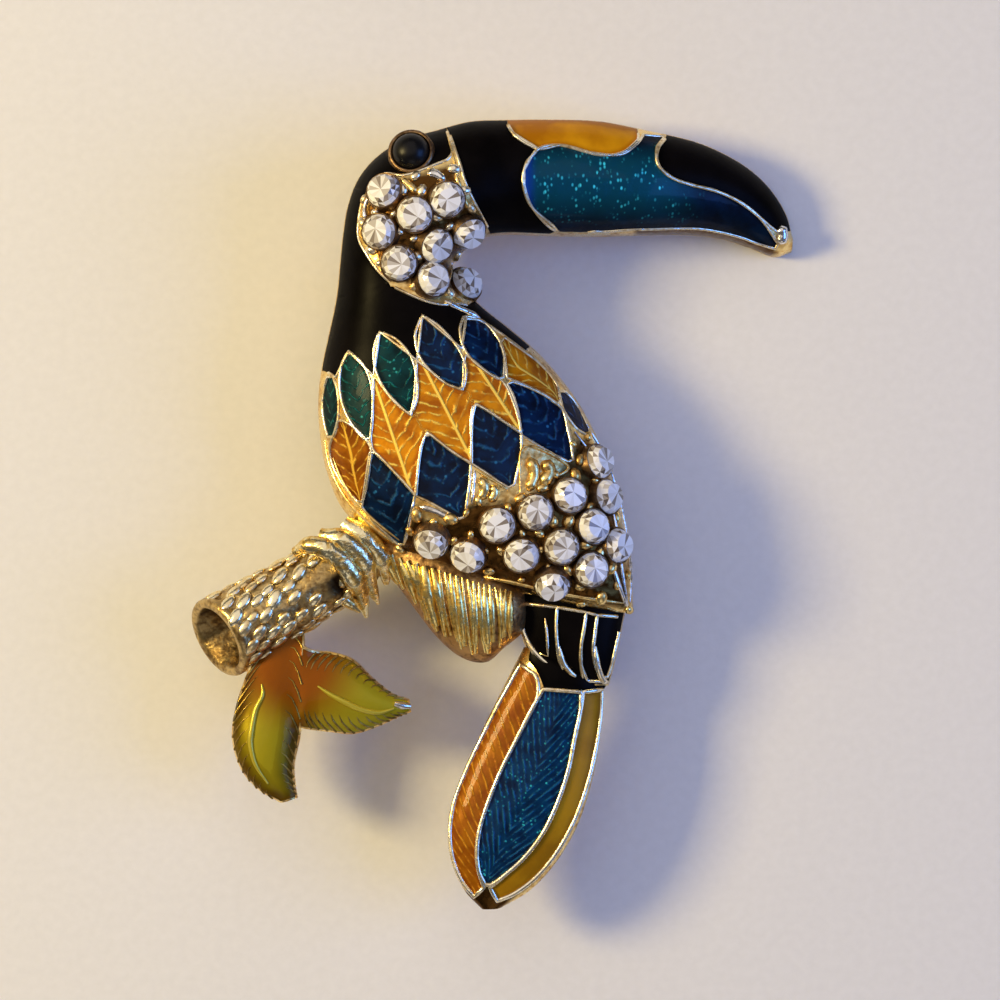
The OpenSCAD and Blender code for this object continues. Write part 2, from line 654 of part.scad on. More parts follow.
module casting() {
    color("goldenrod")
        difference() {
            union() {
                difference() {
                    union() {
                        shell(bird, 2, 1);
                        shell(coverts, 1, 1);
                        shell(tuft, 1, 1);
                        shell(tail, 1, 1);
                        shell(leaf_down, 1, 1);
                        shell(leaf_side, 1, 1);
                    }
                    for (c = bird_cells) pocket(bird, rails(c[0]), wire_w / 2, c[1]);
                    for (c = covert_cells) pocket(coverts, rails(c), wire_w / 2, 2);
                    for (c = tail_cells) pocket(tail, rails(c), wire_w / 2, 2);
                    pocket(leaf_down, leaf_down_cell, leaf_rim, leaf_cuts);
                    pocket(leaf_side, leaf_side_cell, leaf_rim, leaf_cuts);
                }
                on_branch() branch_bark();
                for (t = toes) toe(t);
                posts();
                for (p = concat(face_spots, wing_spots)) on_form(bird, p, lean_max) cup();
                on_form(bird, eye_spot, eye_lean) eye_cup();
            }
            on_branch() branch_mouth();
            bar_room();
            for (p = concat(face_spots, wing_spots)) on_form(bird, p, lean_max) seat();
            on_form(bird, eye_spot, eye_lean) eye_seat();
        }
}

// The bird's cells, each with the number of cuts between its rails
small_cuts = 2;
wide_cuts = 4;
leaf_cuts = 2;
bird_cells = concat(
    [[bill_base_cell, wide_cuts], [bill_saddle_cell, wide_cuts / 2], [bill_side_cell, wide_cuts],
     [bill_tip_cell, wide_cuts / 2], [nape_cell, small_cuts], [yoke_cell, wide_cuts / 2]],
    [for (c = concat(teal_cells, amber_cells, blue_cells)) [c, small_cuts]]
);
tail_cells = [tail_amber_cell, tail_blue_cell, tail_ochre_cell];
// A leaf's cell is the leaf itself beyond its root row
function leaf_rails(rows) = form_rails(form([for (i = [1 : len(rows) - 1]) rows[i]]));
leaf_down_cell = leaf_rails(leaf_down_rows);
leaf_side_cell = leaf_rails(leaf_side_rows);

module bird_enamel(cell, cuts) {
    enamel(bird, rails(cell), wire_w / 2, cuts);
}

module bill_base() {
    color("black") bird_enamel(bill_base_cell, wide_cuts);
}

module bill_saddle() {
    color("orange") bird_enamel(bill_saddle_cell, wide_cuts / 2);
}

module bill_side() {
    color("darkcyan") bird_enamel(bill_side_cell, wide_cuts);
}

module bill_tip() {
    color("black") bird_enamel(bill_tip_cell, wide_cuts / 2);
}

module nape() {
    color("black") bird_enamel(nape_cell, small_cuts);
}

module yoke() {
    color("black") bird_enamel(yoke_cell, wide_cuts / 2);
}

module teal(i) {
    color("teal") bird_enamel(teal_cells[i - 1], small_cuts);
}

module amber(i) {
    color("orange") bird_enamel(amber_cells[i - 1], small_cuts);
}

module blue(i) {
    color("navy") bird_enamel(blue_cells[i - 1], small_cuts);
}

module covert(i) {
    color("black") enamel(coverts, rails(covert_cells[i - 1]), wire_w / 2, small_cuts);
}

module tail_amber() {
    color("orange") enamel(tail, rails(tail_amber_cell), wire_w / 2, small_cuts);
}

module tail_blue() {
    color("darkcyan") enamel(tail, rails(tail_blue_cell), wire_w / 2, small_cuts);
}

module tail_ochre() {
    color("olive") enamel(tail, rails(tail_ochre_cell), wire_w / 2, small_cuts);
}

module leaf_down_glaze() {
    color("yellowgreen") enamel(leaf_down, leaf_down_cell, leaf_rim, leaf_cuts);
}

module leaf_side_glaze() {
    color("yellowgreen") enamel(leaf_side, leaf_side_cell, leaf_rim, leaf_cuts);
}

// Bar, hinge block, wire and catch in one piece, its length along y
module pin_back() {
    block_y = bar_len / 2;
    color("silver") translate([pin_middle.x, pin_middle.y, 0]) {
        translate([-bar_w / 2, -bar_len / 2, bar_z]) cube([bar_w, bar_len, bar_t]);
        translate([-clasp_w / 2, block_y - hinge_len, 0])
            cube([clasp_w, hinge_len, bar_z + bar_t / 2]);
        translate([-clasp_w / 2, -block_y, 0])
            cube([clasp_w, catch_len, bar_z + bar_t / 2]);
        translate([0, block_y - hinge_len / 2, pin_z]) rotate([90, 0, 0])
            cylinder(d = pin_d, h = bar_len - hinge_len / 2 - catch_len / 2, $fn = 24);
    }
}

casting();
pin_back();
bill_base();
bill_saddle();
bill_side();
bill_tip();
nape();
yoke();
for (i = [1 : len(teal_cells)])
    teal(i);
for (i = [1 : len(amber_cells)])
    amber(i);
for (i = [1 : len(blue_cells)])
    blue(i);
for (i = [1 : len(covert_cells)])
    covert(i);
tail_amber();
tail_blue();
tail_ochre();
leaf_down_glaze();
leaf_side_glaze();
eye();
for (i = [1 : len(face_stones)])
    face_stone(i);
for (i = [1 : len(wing_stones)])
    wing_stone(i);
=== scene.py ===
# Figural brooch: a toucan on a hollow branch, with enamel in cast cells, clear cut stones in
# cups and a black cabochon eye. It lies face up on the hinge and the catch of its pin.
import math
import random

import bmesh
import bpy
import numpy as np
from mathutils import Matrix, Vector, noise
from mathutils.bvhtree import BVHTree
from mathutils.geometry import barycentric_transform, delaunay_2d_cdt
from mathutils.kdtree import KDTree


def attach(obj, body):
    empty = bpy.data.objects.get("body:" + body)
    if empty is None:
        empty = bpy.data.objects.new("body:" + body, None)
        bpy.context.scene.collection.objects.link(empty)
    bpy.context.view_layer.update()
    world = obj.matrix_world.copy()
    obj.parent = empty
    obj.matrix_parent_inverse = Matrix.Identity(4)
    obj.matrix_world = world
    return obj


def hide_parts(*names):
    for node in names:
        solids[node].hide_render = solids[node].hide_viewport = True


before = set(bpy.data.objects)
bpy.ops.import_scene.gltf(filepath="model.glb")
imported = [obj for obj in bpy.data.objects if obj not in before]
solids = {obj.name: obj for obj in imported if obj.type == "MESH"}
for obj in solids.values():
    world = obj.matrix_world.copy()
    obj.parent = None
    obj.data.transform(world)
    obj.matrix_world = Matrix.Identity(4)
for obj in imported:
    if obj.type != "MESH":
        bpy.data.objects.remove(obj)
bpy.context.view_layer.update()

# The bird's casting: one hollow piece of zinc alloy, cast and then plated in gold, from the bill
# to the end of the wing. Its surface swells between two drawn edges and is sunk into cells for
# enamel and seats for stones. Sizes are in millimetres; a drawn place is on the drawing grid.
RIM_Z, EDGE_T, BODY_RISE, WALL, ROUNDNESS = 6.0, 1.0, 6.0, 1.2, 2.2
WIRE_W, ENAMEL_T, ENAMEL_SINK, ENAMEL_GAP = 0.28, 0.5, 0.08, 0.05
GRID_X, GRID_Y, GRID_W, GRID_H = 493, 513.5, 614, 795
BROOCH_W, BROOCH_H = 46.4, 60
ROW_STEPS, CROSS_STEPS, EDGE_STEP, CELL_STEP = 8, 19, 0.16, 0.15
METAL_STEP, METAL_RINGS, ROW_SHARE = 0.32, (0.05, 0.13, 0.25, 0.42), 0.866
CORNER = 48  # degrees: a sharper turn stays a corner
LEAST_FLOOR, LEAST_WALL, RIM_LEFT, SHADE_FADE, SLOPE_STEP = 0.1, 0.05, 0.1, 0.4, 0.4
# Each row: a place on one edge and its fellow on the other, then the shares of RIM_Z, of EDGE_T
# at either edge, and of BODY_RISE.
BIRD_ROWS = [
    [798, 232, 797, 247, 0.00, 0.5, 0.5, 0.16],
    [791, 208, 779, 252, 0.02, 0.7, 0.7, 0.34],
    [772, 180, 751, 242, 0.10, 0.8, 0.8, 0.46],
    [743, 157, 723, 234, 0.22, 0.9, 0.9, 0.54],
    [701, 138, 687, 231, 0.38, 1.0, 1.0, 0.60],
    [651, 127, 646, 232, 0.55, 1.0, 1.0, 0.64],
    [600, 118, 598, 234, 0.70, 1.0, 1.0, 0.66],
    [550, 117, 550, 234, 0.84, 1.0, 1.0, 0.68],
    [507, 118, 512, 233, 0.94, 1.0, 1.0, 0.72],
    [470, 120, 488, 235, 1.0, 1.0, 1.0, 0.78],
    [436, 129, 478, 239, 1.0, 1.0, 1.0, 0.84],
    [405, 138, 468, 246, 1.0, 1.0, 1.0, 0.88],
    [378, 154, 460, 253, 1.0, 1.0, 1.0, 0.90],
    [358, 177, 455, 259, 1.0, 1.0, 1.0, 0.90],
    [347, 205, 453, 264, 1.0, 1.0, 1.0, 0.88],
    [342, 235, 454, 271, 1.0, 1.0, 1.0, 0.86],
    [339, 265, 460, 283, 1.0, 1.0, 1.0, 0.84],
    [336, 295, 471, 295, 1.0, 1.0, 1.0, 0.84],
    [329, 330, 486, 309, 1.0, 1.0, 1.0, 0.88],
    [322, 362, 510, 328, 1.0, 1.0, 1.0, 0.94],
    [318, 395, 541, 355, 1.0, 1.0, 1.0, 1.00],
    [319, 430, 571, 391, 1.0, 1.0, 1.0, 1.04],
    [326, 470, 594, 430, 1.0, 1.1, 1.0, 1.04],
    [344, 511, 610, 470, 1.0, 1.4, 1.0, 1.00],
    [384, 543, 620, 505, 1.0, 1.9, 1.1, 0.90],
    [439, 563, 627, 540, 1.0, 2.2, 1.2, 0.78],
    [500, 584, 631, 570, 1.0, 2.2, 1.3, 0.62],
    [560, 603, 633, 595, 1.0, 2.1, 1.5, 0.42],
    [611, 612, 633, 613, 1.0, 1.9, 1.7, 0.16],
]


def place(across, down):
    """A place on the drawing grid, in millimetres."""
    return np.array([(across - GRID_X) / GRID_W * BROOCH_W, (GRID_Y - down) / GRID_H * BROOCH_H]).T


def drawn_through(rows, steps):
    """Rows of numbers with smooth steps put in between them."""
    ends = np.vstack([2 * rows[0] - rows[1], rows, 2 * rows[-1] - rows[-2]])
    out = []
    for a, b, c, d in zip(ends, ends[1:], ends[2:], ends[3:]):
        for t in np.arange(steps) / steps:
            out.append(0.5 * (2 * b + (c - a) * t + (2 * a - 5 * b + 4 * c - d) * t**2
                              + (3 * b - a - 3 * c + d) * t**3))
    return np.array(out + [rows[-1]])


class Form:
    """A swelling form: its outline, and its height over any place."""

    def __init__(self, rows, edges=()):
        """edges: the shares of RIM_Z and EDGE_T, where they are the same in all the rows."""
        rows = np.array([[*row[:4], *edges, *row[4:]] for row in rows], float)
        a, b = place(rows[:, 0], rows[:, 1]), place(rows[:, 2], rows[:, 3])
        sizes = rows[:, 4:8] * [RIM_Z, EDGE_T, EDGE_T, BODY_RISE]
        self.rows = drawn_through(np.hstack([a, b, sizes]), ROW_STEPS)
        shares = (1 - np.cos(np.linspace(0, np.pi, CROSS_STEPS))) / 2
        self.at, points, self.faces = [], [], []
        for i, row in enumerate(self.rows):
            for v in shares:
                points.append(Vector((*(row[0:2] * (1 - v) + row[2:4] * v), 0)))
                self.at.append(Vector((i, v, 0)))
        n = len(shares)
        for i in range(len(self.rows) - 1):
            for j in range(n - 1):
                k = i * n + j
                self.faces += [(k, k + 1, k + n + 1), (k, k + n + 1, k + n)]
        self.points = points
        self.flat = BVHTree.FromPolygons(points, self.faces)

    def share(self, p):
        """How far along the rows a place lies, and how far across."""
        near, _, index, _ = self.flat.find_nearest(Vector((p[0], p[1], 0)))
        a, b, c = self.faces[index]
        spot = barycentric_transform(near, self.points[a], self.points[b], self.points[c],
                                     self.at[a], self.at[b], self.at[c])
        return min(max(spot.x, 0), len(self.rows) - 1.001), min(max(spot.y, 0), 1)

    def levels(self, p):
        """The height of the form's back and of its face at a place."""
        t, v = self.share(p)
        i = int(t)
        row = self.rows[i] * (1 - t + i) + self.rows[i + 1] * (t - i)
        swell = max(0.0, 1 - abs(2 * v - 1) ** ROUNDNESS) ** (1 / ROUNDNESS)
        return row[4], row[4] + row[5] * (1 - v) + row[6] * v + row[7] * swell

    def top(self, p):
        return self.levels(p)[1]

    def slope(self, p):
        """The direction that faces out of the form at a place."""
        x, y, d = p[0], p[1], SLOPE_STEP
        return Vector((self.top((x - d, y)) - self.top((x + d, y)),
                       self.top((x, y - d)) - self.top((x, y + d)), 2 * d)).normalized()


def area_of(loop):
    x, y = loop[:, 0], loop[:, 1]
    return (x @ np.roll(y, -1) - y @ np.roll(x, -1)) / 2


def anticlockwise(loop):
    return loop if area_of(loop) > 0 else loop[::-1]


def outline(drawn):
    """A closed outline through drawn places, in millimetres."""
    return anticlockwise(place(*np.array(drawn).T))


def spaced(loop, step):
    """A closed outline through drawn points, rounded where it turns by less than CORNER."""
    n, out = len(loop), []
    ways = np.roll(loop, -1, axis=0) - loop
    lengths = np.linalg.norm(ways, axis=1)
    turn = [abs(math.degrees(math.atan2(ways[i - 1][0] * ways[i][1] - ways[i - 1][1] * ways[i][0],
                                        ways[i - 1] @ ways[i]))) for i in range(n)]
    for i in range(n):
        k, long = (i + 1) % n, lengths[i]
        if long < 1e-6:
            continue
        out_way = ways[i] if turn[i] > CORNER else (
            (ways[i] + ways[i - 1]) * long / (long + lengths[i - 1]))
        in_way = ways[i] if turn[k] > CORNER else (
            (ways[i] + ways[k]) * long / (long + lengths[k]))
        count = max(1, round(long / step))
        for t in np.arange(count) / count:
            out.append(loop[i] * (2 * t**3 - 3 * t**2 + 1) + out_way * (t**3 - 2 * t**2 + t)
                       + loop[k] * (3 * t**2 - 2 * t**3) + in_way * (t**3 - t**2))
    return np.array(out)


def distance_to(loop, points):
    """How far each point lies from a closed outline."""
    a, way = loop, np.roll(loop, -1, axis=0) - loop
    out = []
    for p in points:
        t = np.clip(((p - a) * way).sum(1) / np.maximum((way * way).sum(1), 1e-12), 0, 1)
        out.append(np.linalg.norm(a + way * t[:, None] - p, axis=1).min())
    return np.array(out)


def inset(loop, d):
    """The outline moved inwards by d, or outwards, without the folds this leaves at corners."""
    loop = loop[np.linalg.norm(loop - np.roll(loop, 1, axis=0), axis=1) > 1e-6]
    before = loop - np.roll(loop, 1, axis=0)
    after = np.roll(loop, -1, axis=0) - loop
    before /= np.linalg.norm(before, axis=1)[:, None]
    after /= np.linalg.norm(after, axis=1)[:, None]
    way_in = np.column_stack([-before[:, 1] - after[:, 1], before[:, 0] + after[:, 0]])
    moved = loop + way_in * d / np.maximum(0.35, 1 + (before * after).sum(1))[:, None]
    return moved[distance_to(loop, moved) > abs(d) * 0.96]


def edge_of(form):
    """The whole outline of a form."""
    loop = np.vstack([form.rows[:, 0:2], form.rows[::-1, 2:4]])
    return spaced(anticlockwise(loop), EDGE_STEP)


def inside(loop, points):
    """Which points lie inside a closed outline."""
    x, y = points[:, 0], points[:, 1]
    hit = np.zeros(len(points), bool)
    for (ax, ay), (bx, by) in zip(loop, np.roll(loop, -1, axis=0)):
        if ay != by:
            hit ^= ((ay > y) != (by > y)) & (x < (bx - ax) * (y - ay) / (by - ay) + ax)
    return hit


def gap_to(points):
    """A rule for how far a place lies from the nearest of some points."""
    tree = KDTree(len(points))
    for i, p in enumerate(points):
        tree.insert((*p, 0), i)
    tree.balance()
    return lambda p: tree.find((*p, 0))[2]


def net(loops, fill_step, ring_steps, ringed):
    """A flat net over some outlines: its points, and its triangles with the outlines each is in.

    The first of the outlines, as many as ringed says, have rows of points along them.
    """
    places, faces = [], []
    for loop in loops:
        faces.append(list(range(len(places), len(places) + len(loop))))
        places += [tuple(p) for p in loop]
    rings = [tuple(p) for loop in loops[:ringed] for d in ring_steps for p in inset(loop, d)]
    low, high = np.vstack(loops).min(0), np.vstack(loops).max(0)
    grid = [((i + 0.5 * (j % 2)) * fill_step + low[0], j * fill_step * ROW_SHARE + low[1])
            for j in range(int((high[1] - low[1]) / fill_step / ROW_SHARE) + 1)
            for i in range(int((high[0] - low[0]) / fill_step) + 1)]
    from_line, from_any = gap_to(places), gap_to(places + rings)
    extra = [p for p in rings if from_line(p) > ring_steps[0] * 0.6]
    extra += [p for p in grid if from_any(p) > fill_step * 0.55]
    edges = [(a, b) for face in faces for a, b in zip(face, face[1:] + face[:1])]
    points, _, tris, *_ = delaunay_2d_cdt(
        [Vector(p) for p in places + extra], edges, [], 0, 1e-5, False)
    points = np.array([tuple(p) for p in points])
    middles = points[np.array(tris)].mean(1)
    within = np.array([inside(loop, middles) for loop in loops])
    return points, [(t, tuple(np.flatnonzero(w))) for t, w in zip(tris, within.T) if w.any()]


def block(points, tris, front, rear, front_z, rear_z):
    """A closed mesh over a flat net: a height rule for each region of its face and its back."""
    made, verts, faces, rims, sources = {}, [], [], {}, []

    def corner(side, region, i, level):
        key = (side, region, i)
        if key not in made:
            made[key] = len(verts)
            sources.append((side, i))
            verts.append((points[i][0] * 0.001, points[i][1] * 0.001, level(region, i) * 0.001))
        return made[key]

    for side, regions, level in (("front", front, front_z), ("rear", rear, rear_z)):
        way = 1 if side == "front" else -1
        sides = {}
        for tri, region in zip(tris, regions):
            faces.append([corner(side, region, i, level) for i in tri][::way])
            for k in range(3):
                sides[tri[k], tri[(k + 1) % 3]] = region
        for (a, b), region in sides.items():
            other = sides.get((b, a))
            if other is None:
                rims.setdefault((a, b), {})[side] = region
            elif other != region and a < b:
                faces.append([made[side, region, b], made[side, region, a],
                              made[side, other, a], made[side, other, b]][::way])
    for (a, b), region in rims.items():
        f, r = region["front"], region["rear"]
        faces.append([made["front", f, b], made["front", f, a],
                      made["rear", r, a], made["rear", r, b]])
    # Where three regions meet, their steps leave a slit: each is closed with a face.
    edges = {(a, b) for face in faces for a, b in zip(face, face[1:] + face[:1])}
    slits = {b: a for a, b in edges if (b, a) not in edges}
    while slits:
        slit = [next(iter(slits))]
        while slit[-1] in slits:
            slit.append(slits.pop(slit[-1]))
        if len(slit) > 3:
            faces.append(slit[:-1])
    return verts, faces, sources


def linked(name, data):
    """A new object in the scene."""
    made = bpy.data.objects.new(name, data)
    bpy.context.collection.objects.link(made)
    return made


def piece_of(name, verts, faces, material, angle=CORNER):
    """A mesh object, smooth but for its sharp edges."""
    mesh = bpy.data.meshes.new(name)
    mesh.from_pydata(verts, [], faces)
    mesh.materials.append(material)
    mesh.shade_smooth()
    mesh.set_sharp_from_angle(angle=math.radians(angle))
    return linked(name, mesh)


def mark(mesh, label, values, domain="POINT"):
    """Writes a number on each point or face of a mesh, for its finish or a node tree to read."""
    mesh.attributes.new(label, "FLOAT", domain).data.foreach_set("value", values)


def finish_of(name, **values):
    """A new finish with these values on its shader."""
    made = bpy.data.materials.new(name)
    made.use_nodes = True
    shader = made.node_tree.nodes["Principled BSDF"]
    for key, value in values.items():
        shader.inputs[key.replace("_", " ").title().replace("Ior", "IOR")].default_value = value
    made.diffuse_color = (*shader.inputs["Base Color"].default_value[:3], 1)
    return made


def step(tree, kind, inputs=(), **settings):
    """A step in a node tree. inputs maps a socket's name or number to a value or an output."""
    made = tree.nodes.new(kind)
    for key, value in settings.items():
        setattr(made, key, value)
    for key, value in dict(inputs).items():
        if isinstance(value, bpy.types.NodeSocket):
            tree.links.new(value, made.inputs[key])
        else:
            made.inputs[key].default_value = value
    return made


def add_node(material, kind, inputs=(), **settings):
    """A node in a finish. inputs maps a socket's name or number to a value or to an output."""
    return step(material.node_tree, "ShaderNode" + kind, inputs, **settings)


def join_to_shader(material, key, output):
    material.node_tree.links.new(output, material.node_tree.nodes["Principled BSDF"].inputs[key])


def ramp(material, fac, stops):
    """A colour ramp over a value. stops: place and colour."""
    made = add_node(material, "ValToRGB", {0: fac})
    band = made.color_ramp
    while len(band.elements) < len(stops):
        band.elements.new(0.5)
    for element, (at, colour) in zip(band.elements, stops):
        element.position, element.color = at, (*colour, 1)
    return made.outputs["Color"]


def reach(material, value, low, high, at_low=0.0, at_high=1.0, way="SMOOTHSTEP"):
    """One value as another passes from low to high."""
    return add_node(material, "MapRange", {
        "Value": value, "From Min": low, "From Max": high, "To Min": at_low, "To Max": at_high},
        interpolation_type=way).outputs[0]


def reckon(material, operation, a, b=0.0):
    return add_node(material, "Math", {0: a, 1: b}, operation=operation).outputs[0]


def blend(material, fac, a, b):
    """Colour a turning to colour b."""
    inputs = {0: fac}
    for key, colour in ((6, a), (7, b)):
        inputs[key] = colour if isinstance(colour, bpy.types.NodeSocket) else (*colour, 1)
    return add_node(material, "Mix", inputs, data_type="RGBA").outputs[2]


def written(material, label):
    """A number that mark has written on the mesh."""
    return add_node(material, "Attribute", attribute_name=label).outputs["Fac"]


def spot_on(material):
    """The place on the brooch."""
    return add_node(material, "TexCoord").outputs["Object"]


def clouds_on(material, scale, detail=2.0):
    """Soft uneven patches that stay in their place on the brooch."""
    return add_node(material, "TexNoise", {
        "Vector": spot_on(material), "Scale": scale, "Detail": detail}).outputs[0]


def roughen(material, height, strength, depth):
    bump = add_node(material, "Bump", {"Height": height, "Strength": strength, "Distance": depth})
    join_to_shader(material, "Normal", bump.outputs[0])


def metal_finish(name, bright, mid, deep, rough, grain=0.5):
    """Cast metal under plating: uneven in tone and duller where darker, and darker still where the
    mesh is marked: painted shade in hollows and gaps, and a darker tone elsewhere.
    """
    made = finish_of(name, base_color=(*bright, 1), metallic=1.0, roughness=rough)
    both = reckon(made, "ADD", clouds_on(made, 420.0, 3.0), clouds_on(made, 2600.0, 3.0))
    tone = reckon(made, "MULTIPLY", both, 0.5)
    plain = ramp(made, tone, [(0.30, deep), (0.42, mid), (0.55, bright), (1.0, bright)])
    shade_and_tone_colour = [c * 0.5 for c in deep]
    join_to_shader(made, "Base Color", blend(made, written(made, "painted_shade_and_tone"), plain, shade_and_tone_colour))
    join_to_shader(made, "Roughness", reach(made, tone, 0.35, 0.6, rough + 0.18, rough, "LINEAR"))
    roughen(made, tone, grain, 0.00012)
    return made


gold = metal_finish("gold plate", (1.0, 0.76, 0.32), (0.72, 0.44, 0.13), (0.20, 0.09, 0.02), 0.23)


def cell_edge(name):
    """The outline of one of the construction's enamel solids, in millimetres."""
    work = bmesh.new()
    work.from_mesh(solids[name].data)
    bmesh.ops.remove_doubles(work, verts=work.verts, dist=1e-6)
    work.normal_update()
    after = {}
    for edge in work.edges:
        tilt = sorted(f.normal.z for f in edge.link_faces)
        if len(tilt) == 2 and abs(tilt[0]) < 0.01 and tilt[1] > 0.03:
            a, b = edge.verts
            after.setdefault(a, []).append(b)
            after.setdefault(b, []).append(a)
    start = next(iter(after))
    loop, here, last = [start], after[start][0], start
    while here != start:
        loop.append(here)
        here, last = next(v for v in after[here] if v != last), here
    out = np.array([(v.co.x * 1000, v.co.y * 1000) for v in loop])
    work.free()
    return anticlockwise(out)


bird = Form(BIRD_ROWS)
bird_edge = edge_of(bird)


def grown(name):
    """The line along the middle of the wires round an enamel solid."""
    return inset(spaced(cell_edge(name), CELL_STEP), -(WIRE_W / 2 + ENAMEL_GAP))


def inward(loop):
    """The way into a closed outline at each of its points."""
    way = np.roll(loop, -1, axis=0) - np.roll(loop, 1, axis=0)
    return np.column_stack([-way[:, 1], way[:, 0]]) / np.linalg.norm(way, axis=1)[:, None]


def to_rim(loop, near):
    """Moves the points of a cell that lie near the bird's rim out to it."""
    rim_in, out = inward(bird_edge), []
    for p, own_in in zip(loop, inward(loop)):
        far = np.linalg.norm(bird_edge - p, axis=1)
        k = far.argmin()
        moved = far[k] < near and own_in @ rim_in[k] > 0.6
        out.append(bird_edge[k] + rim_in[k] * RIM_LEFT if moved else p)
    return np.array(out)


BILL = ["bill_base", "bill_saddle", "bill_side", "bill_tip"]
FEATHERS = [f"{colour}_{i + 1}" for colour, count in (("teal", 5), ("amber", 3), ("blue", 5))
            for i in range(count)]
NECK = [[337, 304], [350, 296], [370, 287], [383, 280], [390, 285], [393, 291], [378, 301],
        [360, 311], [347, 322], [338, 338], [333, 338]]
CROWN = [[362, 172], [374, 160], [388, 150], [408, 142], [436, 134], [447, 131], [450, 142],
         [453, 154], [448, 162], [436, 167], [424, 172], [404, 178], [386, 176], [374, 184],
         [364, 196]]
cells = {name: grown(name) for name in BILL + FEATHERS + ["nape", "yoke"]}
cells["neck"], cells["crown"] = (spaced(outline(drawn), CELL_STEP) for drawn in (NECK, CROWN))
for name, near in (("bill_base", 0.8), ("bill_saddle", 0.8), ("bill_tip", 0.9), ("nape", 0.9),
                   ("yoke", 0.8), ("neck", 0.9), ("crown", 0.9)):
    cells[name] = to_rim(cells[name], near)


def casting(name, form, edges, cuts, material, seats=(), texture=0.0, fields=()):
    """The metal of a form: pits for its enamel, seats for its stones, and fields darkened with
    painted shade and with a darker tone.
    """
    backs = [inset(edge, WALL) for edge in edges]
    loops = list(edges) + backs + list(seats) + list(cuts)
    first_seat = 2 * len(edges)
    first_cut = first_seat + len(seats)
    points, tris = net(loops, METAL_STEP, METAL_RINGS, len(edges))
    levels = [form.levels(p) for p in points]
    # How far into a darkened field each point lies: painted shade in some fields, darker tone in
    # others.
    shade_and_tone_amounts = np.zeros(len(points))
    for field in fields:
        loop = outline(field)
        depth = np.where(inside(loop, points), distance_to(loop, points), 0)
        shade_and_tone_amounts = np.maximum(shade_and_tone_amounts, np.minimum(1, depth / SHADE_FADE))
    front = ["pit" if max(owners) >= first_cut else "seat" if max(owners) >= first_seat
             else "metal" for _, owners in tris]
    rear = ["hollow" if any(len(edges) <= k < first_seat for k in owners) else "rim"
            for _, owners in tris]

    def front_z(region, i):
        back, top = levels[i]
        if region == "seat":
            return max(back + LEAST_FLOOR, top - SEAT_DEEP)
        if region == "pit":
            return max(back + LEAST_FLOOR, top - ENAMEL_SINK - ENAMEL_T - ENAMEL_GAP)
        rough = noise.noise(Vector((*points[i] * 2.6, 0))) * texture if texture else 0
        return top + rough * (1 + 3 * shade_and_tone_amounts[i])

    def rear_z(region, i):
        back, top = levels[i]
        return back if region == "rim" else max(back + LEAST_WALL, top - WALL)

    verts, faces, sources = block(points, [t for t, _ in tris], front, rear, front_z, rear_z)
    made = piece_of(name, verts, faces, material)
    mark(made.data, "painted_shade_and_tone", [shade_and_tone_amounts[i] if side == "front" else 0.0 for side, i in sources])
    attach(made, "root")
    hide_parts("casting")


CROWN_H, GIRDLE_Z, SEAT_DEEP, SEAT_R, SEAT_SIDES = 0.7, 0.43, 0.95, 1.3, 32
FACE = [f"face_stone_{i}" for i in range(1, 10)]
WING = [f"wing_stone_{i}" for i in range(1, 14)]


def girdle_of(name):
    """The middle of a stone's girdle, in millimetres, and the way its table faces."""
    ways = {}
    for face in solids[name].data.polygons:
        ways.setdefault(tuple(round(c, 2) for c in face.normal), []).append(face)
    table = max(ways.values(), key=lambda faces: sum(f.area for f in faces))
    way = table[0].normal.copy()
    whole = sum(f.area for f in table)
    middle = sum((f.center * f.area for f in table), Vector()) / whole
    return middle * 1000 - way * CROWN_H, way


def seat_under(name):
    """The round seat below a stone, as seen from straight above."""
    girdle, way = girdle_of(name)
    foot = girdle - way * GIRDLE_Z
    a = way.cross(Vector((0, 1, 0))).normalized()
    b = way.cross(a)
    turns = [math.tau * i / SEAT_SIDES for i in range(SEAT_SIDES)]
    return anticlockwise(np.array([(foot + (a * math.cos(t) + b * math.sin(t)) * SEAT_R)[:2]
                                   for t in turns]))


# Fields darkened on the casting. Round the stones of the face and the wing: the metal's darker
# tone, with painted shade in the gaps between and under the stones. Along the bill's lower rim:
# darker metal.
FACE_FIELD = [[366, 190], [392, 180], [420, 174], [446, 166], [455, 164], [464, 190], [478, 225],
              [470, 250], [452, 262], [455, 275], [476, 285], [468, 297], [430, 294], [396, 280],
              [372, 258], [362, 225]]
WING_FIELD = [[392, 556], [404, 530], [416, 512], [440, 524], [462, 508], [476, 500], [502, 500],
              [520, 498], [548, 478], [566, 456], [576, 436], [592, 436], [612, 478], [626, 540],
              [632, 612], [590, 606], [540, 598], [470, 582], [430, 570]]
BILL_RIM = [[632, 221], [680, 217], [700, 218], [735, 224], [765, 234], [778, 238], [786, 250],
            [772, 258], [740, 250], [710, 240], [680, 237], [634, 236]]
casting("bird_casting", bird, [bird_edge], list(cells.values()), gold,
        [seat_under(n) for n in FACE + WING], 0.05, [FACE_FIELD, WING_FIELD, BILL_RIM])

